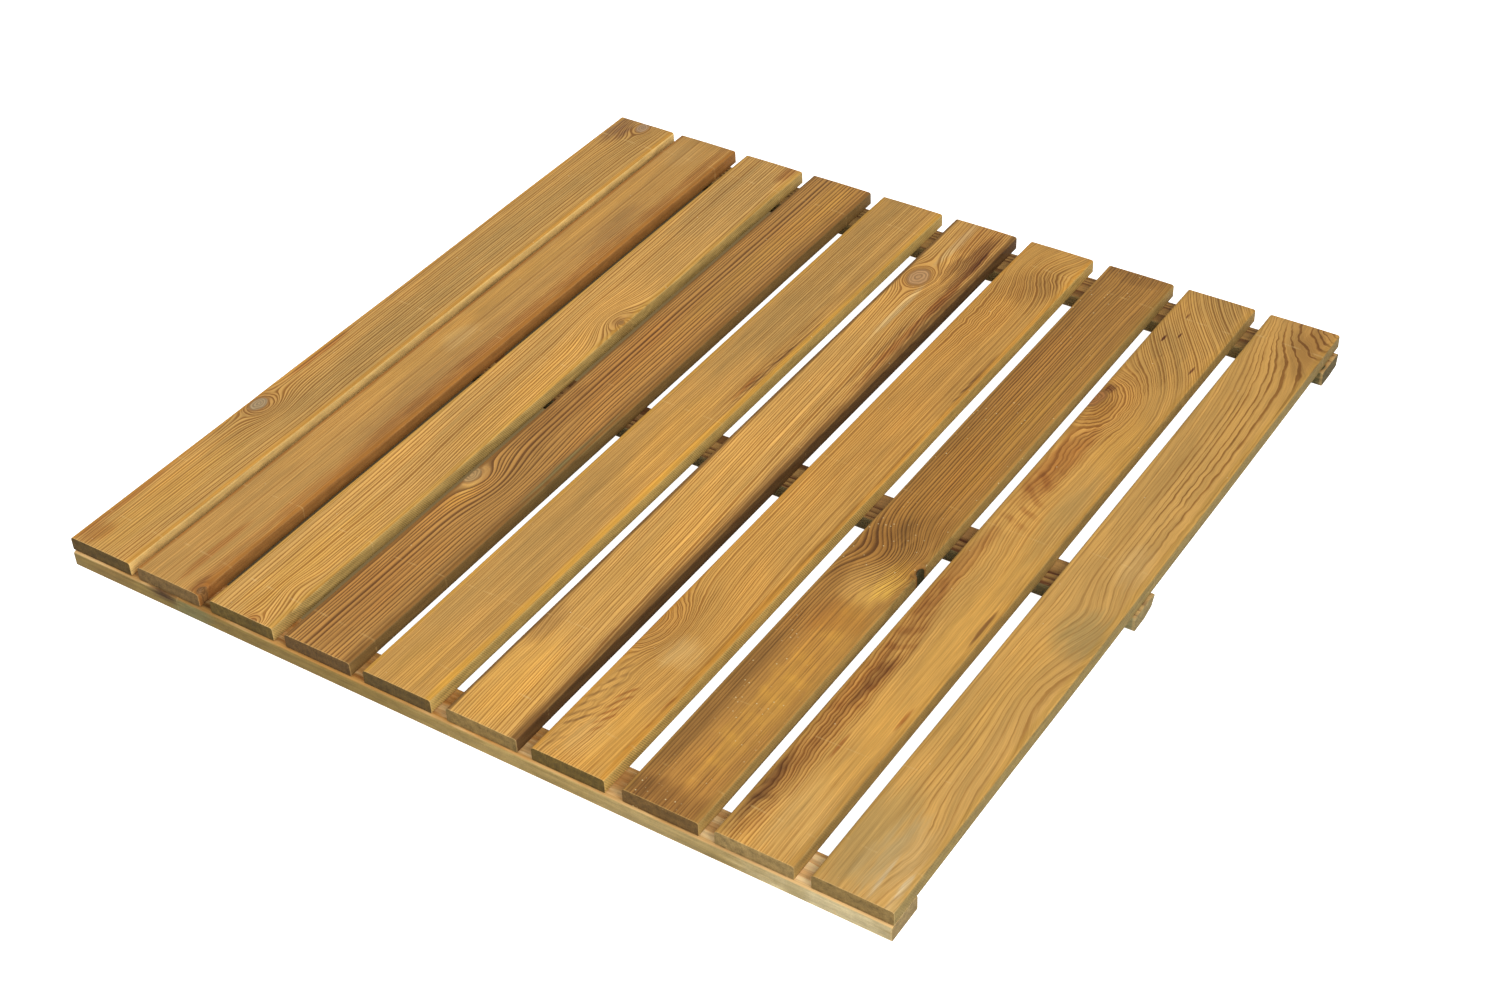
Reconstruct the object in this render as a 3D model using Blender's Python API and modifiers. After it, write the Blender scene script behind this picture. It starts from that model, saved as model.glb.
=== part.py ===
"""A slatted timber duckboard: ten rounded softwood slats laid across three battens.

One countersunk wood screw holds each crossing. It is driven from below, through
the batten and into the slat, so that nothing shows on the walking face.
X runs across the slats, Y along them and Z up; the origin is the centre of the
underside. All values are in metres.
"""

import math

import bmesh
import bpy

# ---------------------------------------------------------------- driving sizes

SLAT_COUNT = 10
SLAT_LENGTH = 1.000
SLAT_WIDTH = 0.085
SLAT_THICKNESS = 0.017
SLAT_EDGE_RADIUS = 0.0045
SLAT_GAP = 0.01667  # mean drainage gap between neighbouring slats
# The slats are set by eye, so each gap is a little wider or narrower than the mean.
GAP_ERRORS = (-0.0057, -0.0007, -0.0007, 0.0003, 0.0018, 0.0008, 0.0029, 0.0004, 0.0009)

BATTEN_WIDTH = 0.045
BATTEN_THICKNESS = 0.018
BATTEN_EDGE_RADIUS = 0.0015
NEAR_BATTEN_PROUD = 0.003  # the near batten's face stands this far past the slats' ends
MIDDLE_BATTEN_OFFSET = -0.010  # from the middle of the slats
FAR_BATTEN_SETBACK = 0.010  # from the slats' far ends

SCREW_RADIUS = 0.002
SCREW_HEAD_RADIUS = 0.004
SCREW_HEAD_RIM = 0.0004  # straight edge of the countersunk head
SCREW_TIP_LENGTH = 0.005
SCREW_RECESS = 0.0008  # how far the head sits below the batten's underside
TIP_COVER = 0.0045  # slat left whole above the screw's tip
DRIVE_BAR_LENGTH = 0.0044
DRIVE_BAR_WIDTH = 0.0010
DRIVE_DEPTH = 0.0016

SEAT_GAP = 0.0003  # between pieces that touch on the real object
CUT_MARGIN = 0.001  # how far a cutter runs past the face that it opens

SLAT_EDGE_SEGMENTS = 4
BATTEN_EDGE_SEGMENTS = 2
TURN_STEPS = 12
MERGE_DISTANCE = 0.00001

GOLDEN = (0.60, 0.36, 0.11)
TAN = (0.52, 0.33, 0.12)
BROWN = (0.36, 0.19, 0.06)
KHAKI = (0.42, 0.31, 0.14)
ZINC = (0.60, 0.57, 0.48)
SLAT_COLOURS = (TAN, TAN, GOLDEN, BROWN, TAN, GOLDEN, TAN, BROWN, GOLDEN, GOLDEN)

# -------------------------------------------------------------- derived places

gaps = [SLAT_GAP + GAP_ERRORS[i % len(GAP_ERRORS)] for i in range(SLAT_COUNT - 1)]
panel_width = SLAT_COUNT * SLAT_WIDTH + sum(gaps)
slats_near_end = -(SLAT_LENGTH + NEAR_BATTEN_PROUD) / 2 + NEAR_BATTEN_PROUD
slats_middle = slats_near_end + SLAT_LENGTH / 2
slats_far_end = slats_near_end + SLAT_LENGTH

slat_underside = BATTEN_THICKNESS + SEAT_GAP
walking_face = slat_underside + SLAT_THICKNESS
screw_length = walking_face - TIP_COVER - SCREW_RECESS


def slat_centre(index):
    """X of a slat's centre line, counted from the left edge of the panel."""
    return -panel_width / 2 + (index + 0.5) * SLAT_WIDTH + sum(gaps[:index])


SLAT_CENTRES = [slat_centre(i) for i in range(SLAT_COUNT)]
BATTEN_CENTRES = {
    "near": slats_near_end - NEAR_BATTEN_PROUD + BATTEN_WIDTH / 2,
    "middle": slats_middle + MIDDLE_BATTEN_OFFSET,
    "far": slats_far_end - FAR_BATTEN_SETBACK - BATTEN_WIDTH / 2,
}

# --------------------------------------------------------------------- helpers


def clear_scene():
    for item in list(bpy.data.objects):
        bpy.data.objects.remove(item, do_unlink=True)


def new_collection(name):
    collection = bpy.data.collections.new(name)
    bpy.context.scene.collection.children.link(collection)
    return collection


def principled(name, colour, roughness, metallic=0.0):
    material = bpy.data.materials.new(name)
    material.use_nodes = True
    shader = material.node_tree.nodes["Principled BSDF"]
    shader.inputs["Base Color"].default_value = (*colour, 1.0)
    shader.inputs["Roughness"].default_value = roughness
    shader.inputs["Metallic"].default_value = metallic
    return material


def place(name, mesh, collection, location, material=None):
    item = bpy.data.objects.new(name, mesh)
    item.location = location
    collection.objects.link(item)
    if material:
        mesh.materials.clear()
        mesh.materials.append(material)
    return item


def hide_as_cutter(item):
    item.hide_render = True
    item.display_type = "WIRE"


def box_mesh(name, size):
    """A box centred on its own origin, made from a unit cube."""
    shape = bmesh.new()
    bmesh.ops.create_cube(shape, size=1.0)
    bmesh.ops.scale(shape, vec=size, verts=shape.verts)
    mesh = bpy.data.meshes.new(name)
    shape.to_mesh(mesh)
    shape.free()
    return mesh


def round_long_edges(item, axis, radius, segments):
    """Round the four edges that run along one axis, and leave the sawn ends square."""
    mesh = item.data
    weights = mesh.attributes.new("bevel_weight_edge", "FLOAT", "EDGE")
    for edge in mesh.edges:
        start, end = (mesh.vertices[i].co for i in edge.vertices)
        runs_along = abs((end - start).normalized()[axis]) > 0.9
        weights.data[edge.index].value = 1.0 if runs_along else 0.0
    bevel = item.modifiers.new("Rounded edges", "BEVEL")
    bevel.limit_method = "WEIGHT"
    bevel.width = radius
    bevel.segments = segments


def cut_with(item, cutter):
    cut = item.modifiers.new(f"Cut {cutter.name}", "BOOLEAN")
    cut.operation = "DIFFERENCE"
    cut.solver = "EXACT"
    cut.object = cutter


def turned(name, profile, collection):
    """An object turned about Z from a profile of (radius, height), listed from the top down."""
    shape = bmesh.new()
    points = [shape.verts.new((radius, 0.0, height)) for radius, height in profile]
    for upper, lower in zip(points, points[1:]):
        shape.edges.new((upper, lower))
    mesh = bpy.data.meshes.new(name)
    shape.to_mesh(mesh)
    shape.free()
    item = place(name, mesh, collection, (0.0, 0.0, 0.0))
    turn = item.modifiers.new("Turn", "SCREW")
    turn.axis = "Z"
    turn.angle = math.tau
    turn.steps = TURN_STEPS
    turn.render_steps = TURN_STEPS
    turn.use_merge_vertices = True
    turn.merge_threshold = MERGE_DISTANCE
    return item


def finished_mesh(item):
    """The item's evaluated mesh, for several objects to share; the item is removed."""
    bpy.context.view_layer.update()
    evaluated = item.evaluated_get(bpy.context.evaluated_depsgraph_get())
    mesh = bpy.data.meshes.new_from_object(evaluated)
    mesh.name = item.name
    bpy.data.objects.remove(item, do_unlink=True)
    return mesh


# ---------------------------------------------------------------------- screws


def screw_profile(clearance, tail):
    """The countersunk screw with its head down, grown all round by a clearance.

    Heights are counted from the head's flat. A tail longer than nothing carries the
    head's full width on downwards, which opens the countersink through the batten.
    """
    cone_height = SCREW_HEAD_RADIUS - SCREW_RADIUS
    neck = SCREW_HEAD_RIM + cone_height
    return [
        (0.0, screw_length + 2 * clearance),
        (SCREW_RADIUS + clearance, screw_length - SCREW_TIP_LENGTH + clearance),
        (SCREW_RADIUS + clearance, neck + clearance),
        (SCREW_HEAD_RADIUS + clearance, SCREW_HEAD_RIM + clearance),
        (SCREW_HEAD_RADIUS + clearance, -tail),
        (0.0, -tail),
    ]


def drive_bars(collection):
    """The two crossing bars that cut the drive recess, centred on the head's flat."""
    sizes = (
        (DRIVE_BAR_LENGTH, DRIVE_BAR_WIDTH, 2 * DRIVE_DEPTH),
        (DRIVE_BAR_WIDTH, DRIVE_BAR_LENGTH, 2 * DRIVE_DEPTH),
    )
    bars = []
    for number, size in enumerate(sizes, start=1):
        name = f"drive_bar_{number}"
        bar = place(name, box_mesh(name, size), collection, (0.0, 0.0, 0.0))
        hide_as_cutter(bar)
        bars.append(bar)
    return bars


def screw_mesh(collection):
    blank = turned("screw", screw_profile(clearance=0.0, tail=0.0), collection)
    bars = drive_bars(collection)
    for bar in bars:
        cut_with(blank, bar)
    mesh = finished_mesh(blank)
    for bar in bars:
        bpy.data.objects.remove(bar, do_unlink=True)
    mesh.shade_smooth()
    mesh.set_sharp_from_angle(angle=math.radians(30))
    return mesh


def screw_hole_mesh(collection):
    hole = turned("screw_hole", screw_profile(SEAT_GAP, SCREW_RECESS + CUT_MARGIN), collection)
    return finished_mesh(hole)


def add_screws(panel, cutters):
    """One screw and one hole cutter for each crossing; the cutters come back by crossing."""
    steel = principled("screw_steel", ZINC, roughness=0.35, metallic=1.0)
    shared_screw = screw_mesh(panel)
    shared_hole = screw_hole_mesh(cutters)
    holes = {}
    for row, y in BATTEN_CENTRES.items():
        for index, x in enumerate(SLAT_CENTRES):
            spot = (x, y, SCREW_RECESS)
            place(f"screw_{row}_{index + 1:02d}", shared_screw, panel, spot, steel)
            hole = place(f"hole_{row}_{index + 1:02d}", shared_hole, cutters, spot)
            hide_as_cutter(hole)
            holes[row, index] = hole
    return holes


# ---------------------------------------------------------------------- boards


def add_slats(panel, holes):
    size = (SLAT_WIDTH, SLAT_LENGTH, SLAT_THICKNESS)
    height = slat_underside + SLAT_THICKNESS / 2
    for index, x in enumerate(SLAT_CENTRES):
        name = f"slat_{index + 1:02d}"
        colour = SLAT_COLOURS[index % len(SLAT_COLOURS)]
        wood = principled(f"{name}_wood", colour, roughness=0.62)
        slat = place(name, box_mesh(name, size), panel, (x, slats_middle, height), wood)
        round_long_edges(slat, axis=1, radius=SLAT_EDGE_RADIUS, segments=SLAT_EDGE_SEGMENTS)
        for row in BATTEN_CENTRES:
            cut_with(slat, holes[row, index])


def add_battens(panel, holes):
    size = (panel_width, BATTEN_WIDTH, BATTEN_THICKNESS)
    for row, y in BATTEN_CENTRES.items():
        name = f"batten_{row}"
        wood = principled(f"{name}_wood", KHAKI, roughness=0.7)
        spot = (0.0, y, BATTEN_THICKNESS / 2)
        batten = place(name, box_mesh(name, size), panel, spot, wood)
        round_long_edges(batten, axis=0, radius=BATTEN_EDGE_RADIUS, segments=BATTEN_EDGE_SEGMENTS)
        for index in range(SLAT_COUNT):
            cut_with(batten, holes[row, index])


def main():
    clear_scene()
    panel = new_collection("duckboard")
    cutters = new_collection("duckboard_cutters")
    holes = add_screws(panel, cutters)
    add_battens(panel, holes)
    add_slats(panel, holes)


main()
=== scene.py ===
# %% [markdown]
# # A slatted duckboard, from bare frame to finished timber
#
# The object is a one metre square of treated softwood: ten rounded slats on three
# battens, held by screws driven from below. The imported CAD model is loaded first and
# stays as the fixed frame, so every board made here takes its place from it.

# %% Load the frame
import math

import bmesh
import bpy
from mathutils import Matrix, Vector, noise


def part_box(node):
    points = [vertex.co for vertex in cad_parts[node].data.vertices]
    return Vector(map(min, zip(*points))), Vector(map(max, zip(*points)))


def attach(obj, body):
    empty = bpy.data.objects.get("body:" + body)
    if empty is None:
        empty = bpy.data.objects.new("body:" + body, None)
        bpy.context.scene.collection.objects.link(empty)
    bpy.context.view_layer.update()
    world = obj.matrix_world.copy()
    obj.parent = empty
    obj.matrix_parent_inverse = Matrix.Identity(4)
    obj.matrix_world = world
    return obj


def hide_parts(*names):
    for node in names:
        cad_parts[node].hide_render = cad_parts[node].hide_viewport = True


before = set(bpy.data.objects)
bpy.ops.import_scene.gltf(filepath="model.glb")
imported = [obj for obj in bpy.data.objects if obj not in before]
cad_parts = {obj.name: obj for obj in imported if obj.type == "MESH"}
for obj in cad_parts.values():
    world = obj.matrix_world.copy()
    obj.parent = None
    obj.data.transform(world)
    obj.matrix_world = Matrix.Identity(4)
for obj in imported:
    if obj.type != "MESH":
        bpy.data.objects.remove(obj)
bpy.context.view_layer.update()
MM = 0.001

# %% [markdown]
# ## The camera
#
# A product picture of a flat thing is usually taken from about forty degrees up, with
# a lens a little longer than normal so that the boards don't fan out. A camera in
# Blender looks down its own -Z, so its place and three turns are all it needs. The
# small middle turn tips the horizon by two degrees, as a hand-held camera does.

# %% Camera
camera_data = bpy.data.cameras.new("camera")
camera_data.lens = 57.37
camera_data.sensor_width = 36.0
camera = bpy.data.objects.new("camera", camera_data)
camera.location = (1.196, -1.693, 1.619)
camera.rotation_euler = [math.radians(turn) for turn in (50.955, 2.116, 32.966)]
bpy.context.scene.collection.objects.link(camera)
bpy.context.scene.camera = camera
print("camera lens", camera_data.lens, "mm")

# %% [markdown]
# ## Floor and light
#
# The panel lies on a plain white table top. Shadows in the gaps would make the slats
# hard to tell apart, so the floor glows, but only for the camera: Light Path keeps the
# glow off the wood, which would otherwise be lit from below. Between the four slats at
# the left only slivers of floor show, and there the floor's glow and its own colour are
# dark brown and khaki: painted shade.
#
# A ray shorter than a millimetre or two can only come from a face that lies on the
# floor. It meets a dim glow, or the battens would be black from below. The floor's back
# is clear, so that the panel can be looked at from there.
#
# The light is a pale sky all round and two big soft panels. The stronger one stands to
# the right, so the right-hand sides are lit, the sawn ends stay darker and the far side
# falls off a little.


# %% Node helpers
def feed(tree, socket, value):
    """Link another socket to this one, or set it to a plain value."""
    if isinstance(value, bpy.types.NodeSocket):
        tree.links.new(value, socket)
    else:
        socket.default_value = value


def add(tree, kind, inputs=None, **settings):
    """A new node with its settings, and its inputs fed by name or number."""
    made = tree.nodes.new(kind)
    for name, value in settings.items():
        setattr(made, name, value)
    for name, value in (inputs or {}).items():
        feed(tree, made.inputs[name], value)
    return made


def calc(tree, operation, *values, clamp=False):
    """A Math node's result."""
    made = add(tree, "ShaderNodeMath", dict(enumerate(values)), operation=operation, use_clamp=clamp)
    return made.outputs[0]


def times(tree, first, second):
    return calc(tree, "MULTIPLY", first, second)


def blend(tree, amount, first, second):
    """Two colours mixed by an amount."""
    return add(tree, "ShaderNodeMix", {0: amount, 6: first, 7: second}, data_type="RGBA").outputs[2]


def new_material(name):
    """A material with nodes; gives it, its tree and its Principled shader."""
    material = bpy.data.materials.new(name)
    material.use_nodes = True
    return material, material.node_tree, material.node_tree.nodes["Principled BSDF"]


# %% Floor
FLOOR_SIZE = 60.0
FLOOR_DROP = 0.5 * MM
floor_shape = bmesh.new()
bmesh.ops.create_grid(floor_shape, x_segments=1, y_segments=1, size=FLOOR_SIZE / 2)
bmesh.ops.translate(floor_shape, vec=(0, 0, -FLOOR_DROP), verts=floor_shape.verts)
floor_mesh = bpy.data.meshes.new("floor")
floor_shape.to_mesh(floor_mesh)
floor_shape.free()
floor = bpy.data.objects.new("floor", floor_mesh)
bpy.context.scene.collection.objects.link(floor)

# %% Floor paint
# painted shade: under the left slats the floor is dark brown, and khaki from -0.28 m on, in its camera glow
# and in its base colour
SHADE_FROM = -0.49
DEEP_SHADE_TO = -0.28
SHADE_TO = -0.18
SHADE_REACH = 0.49
TOUCHING = 1.5 * MM
TOUCHED_GLOW = 0.5
GLOW_WHITE = (1.0, 1.0, 1.0, 1.0)
DEEP_SHADE = (0.060, 0.042, 0.020, 1.0)
KHAKI_SHADE = (0.185, 0.125, 0.048, 1.0)
TABLE_WHITE = (0.9, 0.9, 0.9, 1.0)
TABLE_SHADE = (0.12, 0.09, 0.06, 1.0)

floor_paint, tree, white = new_material("floor_white")
white.inputs["Roughness"].default_value = 0.9
spot = add(tree, "ShaderNodeSeparateXYZ", {0: add(tree, "ShaderNodeTexCoord").outputs["Object"]}).outputs
right_of_edge = calc(tree, "GREATER_THAN", spot[0], SHADE_FROM)
left_slats = times(tree, right_of_edge, calc(tree, "LESS_THAN", spot[0], SHADE_TO))
under_panel = calc(tree, "LESS_THAN", calc(tree, "ABSOLUTE", spot[1]), SHADE_REACH)
shaded = times(tree, left_slats, under_panel)
shade = blend(tree, calc(tree, "GREATER_THAN", spot[0], DEEP_SHADE_TO), DEEP_SHADE, KHAKI_SHADE)
ray = add(tree, "ShaderNodeLightPath").outputs
seen = ray["Is Camera Ray"]
seen_colour = blend(tree, times(tree, shaded, seen), GLOW_WHITE, shade)
feed(tree, white.inputs["Emission Color"], seen_colour)
touched = calc(tree, "LESS_THAN", ray["Ray Length"], TOUCHING)
glow = calc(tree, "MAXIMUM", seen, times(tree, touched, TOUCHED_GLOW))
feed(tree, white.inputs["Emission Strength"], glow)
feed(tree, white.inputs["Base Color"], blend(tree, shaded, TABLE_WHITE, TABLE_SHADE))
clear = add(tree, "ShaderNodeBsdfTransparent")
behind = add(tree, "ShaderNodeNewGeometry").outputs["Backfacing"]
choice = add(tree, "ShaderNodeMixShader", {0: behind, 1: white.outputs[0], 2: clear.outputs[0]})
tree.links.new(choice.outputs[0], tree.nodes["Material Output"].inputs["Surface"])
floor_mesh.materials.append(floor_paint)
print("floor:", FLOOR_SIZE, "m square,", len(tree.nodes), "nodes in its paint")

# %% Sky and two soft panels
scene = bpy.context.scene
scene.world = bpy.data.worlds.new("sky")
scene.world.use_nodes = True
sky = scene.world.node_tree.nodes["Background"]
sky.inputs["Color"].default_value = (1.0, 1.0, 1.0, 1.0)
sky.inputs["Strength"].default_value = 0.43


def soft_light(name, place, size, power):
    """A square area light at a place, turned to face the middle of the panel."""
    data = bpy.data.lights.new(name, "AREA")
    data.size = size
    data.energy = power
    item = bpy.data.objects.new(name, data)
    item.location = place
    item.rotation_euler = (-Vector(place)).to_track_quat("-Z", "Y").to_euler()
    scene.collection.objects.link(item)


soft_light("key_panel", place=(4.2, -1.6, 4.0), size=3.0, power=252.0)
soft_light("fill_panel", place=(-2.2, -1.8, 3.0), size=2.5, power=44.0)
scene.view_settings.view_transform = "Standard"
print("light: pale sky and two soft panels")

# %% [markdown]
# ## The shape of a planed board
#
# Each slat was planed with rounded long edges and then cross-cut, so its sides are soft
# and its ends are sharp. A cube with its four long edges bevelled gives that section. The
# ends get half a millimetre, as a touch of sandpaper leaves them.
#
# The bar is then cut into short bays by planes, because a real board is never quite
# straight: with points along it, it can bow, cup and carry the dips that knots leave. The
# amounts are tenths of a millimetre, which is enough to make the light run unevenly on it.

# %% Board sizes
EDGE_SEGMENTS = 7
ARRIS = 0.5 * MM
BAY = 12 * MM
CROSS_BAY = 9 * MM
FINE_BAY = 2 * MM
BAY_MARGIN = 1.2 * MM
LEAST_BAY = 0.6 * MM


# %% Board helpers
def runs_along(edge, axis):
    start, end = (vert.co for vert in edge.verts)
    return abs((end - start).normalized()[axis]) > 0.9


def board_blank(low, high, axis, radii):
    """A square bar between two corners, with its long edges rounded.

    The radii are those of the upper edge on the low side, of the upper edge on the
    high side, and of both lower edges.
    """
    shape = bmesh.new()
    middle = (low + high) / 2
    bmesh.ops.create_cube(shape, size=1.0)
    bmesh.ops.scale(shape, vec=high - low, verts=shape.verts)
    bmesh.ops.translate(shape, vec=middle, verts=shape.verts)
    style = dict(offset_type="OFFSET", profile=0.5, affect="EDGES", material=-1, clamp_overlap=True)
    groups = ([], [], [])
    for edge in shape.edges:
        if runs_along(edge, axis):
            spot = (edge.verts[0].co + edge.verts[1].co) / 2 - middle
            groups[2 if spot.z < 0 else int(spot[1 - axis] > 0)].append(edge)
    for edges, radius in zip(groups, radii):
        bmesh.ops.bevel(shape, geom=edges, offset=radius, segments=EDGE_SEGMENTS, **style)
    end_edges = [edge for edge in shape.edges if not runs_along(edge, axis)]
    bmesh.ops.bevel(shape, geom=end_edges, offset=ARRIS, segments=2, **style)
    return shape


def slice_at(shape, axis, places):
    """Cut the whole shape by planes square to an axis, and keep both sides."""
    normal = Vector((0.0, 0.0, 0.0))
    normal[axis] = 1.0
    for place in places:
        everything = shape.verts[:] + shape.edges[:] + shape.faces[:]
        bmesh.ops.bisect_plane(shape, geom=everything, plane_co=normal * place, plane_no=normal, dist=1e-6)


def bays(low, high, step, fine_spots=()):
    """Evenly spaced cuts between two ends, and closer ones round each spot (place, reach)."""
    count = max(2, round((high - low) / step))
    cuts = [low + (high - low) * i / count for i in range(1, count)]
    for place, reach in fine_spots:
        steps = int(reach / FINE_BAY)
        cuts += [place + i * FINE_BAY for i in range(-steps, steps + 1)]
    kept = []
    for cut in sorted(cuts):
        inside = low + BAY_MARGIN < cut < high - BAY_MARGIN
        if inside and (not kept or cut - kept[-1] > LEAST_BAY):
            kept.append(cut)
    return kept


def mesh_object(name, shape, material=None, smooth_angle=40):
    """A finished bmesh as an object at the origin, shaded smooth except at sharp corners."""
    mesh = bpy.data.meshes.new(name)
    shape.to_mesh(mesh)
    shape.free()
    mesh.shade_smooth()
    mesh.set_sharp_from_angle(angle=math.radians(smooth_angle))
    item = bpy.data.objects.new(name, mesh)
    bpy.context.scene.collection.objects.link(item)
    if material:
        mesh.materials.append(material)
    return item


# %% [markdown]
# ## What makes each board its own
#
# Ten slats from ten different logs look alike only from far away. What tells them apart
# is where the heart of the log lay, how wide its years were, and where branches passed.
# So each board gets a short card: the pith's place under it, the ring width, how bold
# the rings are, and then a list of what happened to the grain. A knot turns the lines
# round itself, a swell carries them sideways into an arch, and a stain colours them.
# Places on a card are in millimetres from the board's own middle, X across and Y along.

# %% What a card can say
# What a card leaves out is taken from here. The hatch is how dark the saw marks on the
# sides are, specks are dried salts and pockets are slits of resin. The tint is a cast over
# the whole board and spring a bend to the side. The last three are for battens: how far
# each end is from the outer slats, and how much of a corner is missing.
UNSAID = dict(
    knots=(), swells=(), accents=(), curls=(), side_stains=(), late_start=0.3, hatch=0.2, specks=0.12,
    pockets=0.0, tint=(1.0, 1.0, 1.0), spring=0.0, short_left=0.0, past_right=0.0, wane=0.0,
)


def knot(x, y, size, reach, dark=0.5, bump=0.3, colour=(0.42, 0.25, 0.11)):
    """A branch: its place and radius, how far the grain turns, its rim, rise and heart's colour."""
    return dict(x=x, y=y, size=size, reach=reach, dark=dark, bump=bump, colour=colour)


def swell(x, y, wide, long, push, ruffle=0.0):
    """A place where the lines are carried sideways by push, and crumpled by ruffle."""
    return dict(x=x, y=y, wide=wide, long=long, push=push, ruffle=ruffle)


def stain(x, y, wide, long, colour, amount, above=None):
    """A soft patch of another colour; on a side it may stay above a height."""
    return dict(x=x, y=y, wide=wide, long=long, colour=colour, amount=amount, above=above)


def curl(x, y, wide, long, period, tilt, colour, amount):
    """A row of short dark waves across the grain, as over a hidden branch."""
    return dict(x=x, y=y, wide=wide, long=long, period=period, tilt=tilt, colour=colour, amount=amount)


def accent(x, y, wide, long, amount):
    """A place where the lines stand out more, or fade if the amount is below nothing."""
    return dict(x=x, y=y, wide=wide, long=long, amount=amount)


# %% Colours of the timber
# each wood is its pale early growth and its dark late growth
STRAW = ((0.575, 0.315, 0.086), (0.285, 0.120, 0.022))
GOLD = ((0.650, 0.350, 0.086), (0.330, 0.140, 0.024))
UMBER = ((0.500, 0.245, 0.062), (0.165, 0.066, 0.015))

RED_BROWN = (0.38, 0.135, 0.024)
DARK_BROWN = (0.270, 0.125, 0.034)
PLUM = (0.25, 0.120, 0.055)
PALE = (0.70, 0.47, 0.19)
ASH = (0.42, 0.27, 0.095)
HONEY = (0.73, 0.375, 0.064)
MOSS = (0.30, 0.235, 0.085)
ORANGE = (0.46, 0.205, 0.028)
SCAR = (0.16, 0.045, 0.014)

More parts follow.
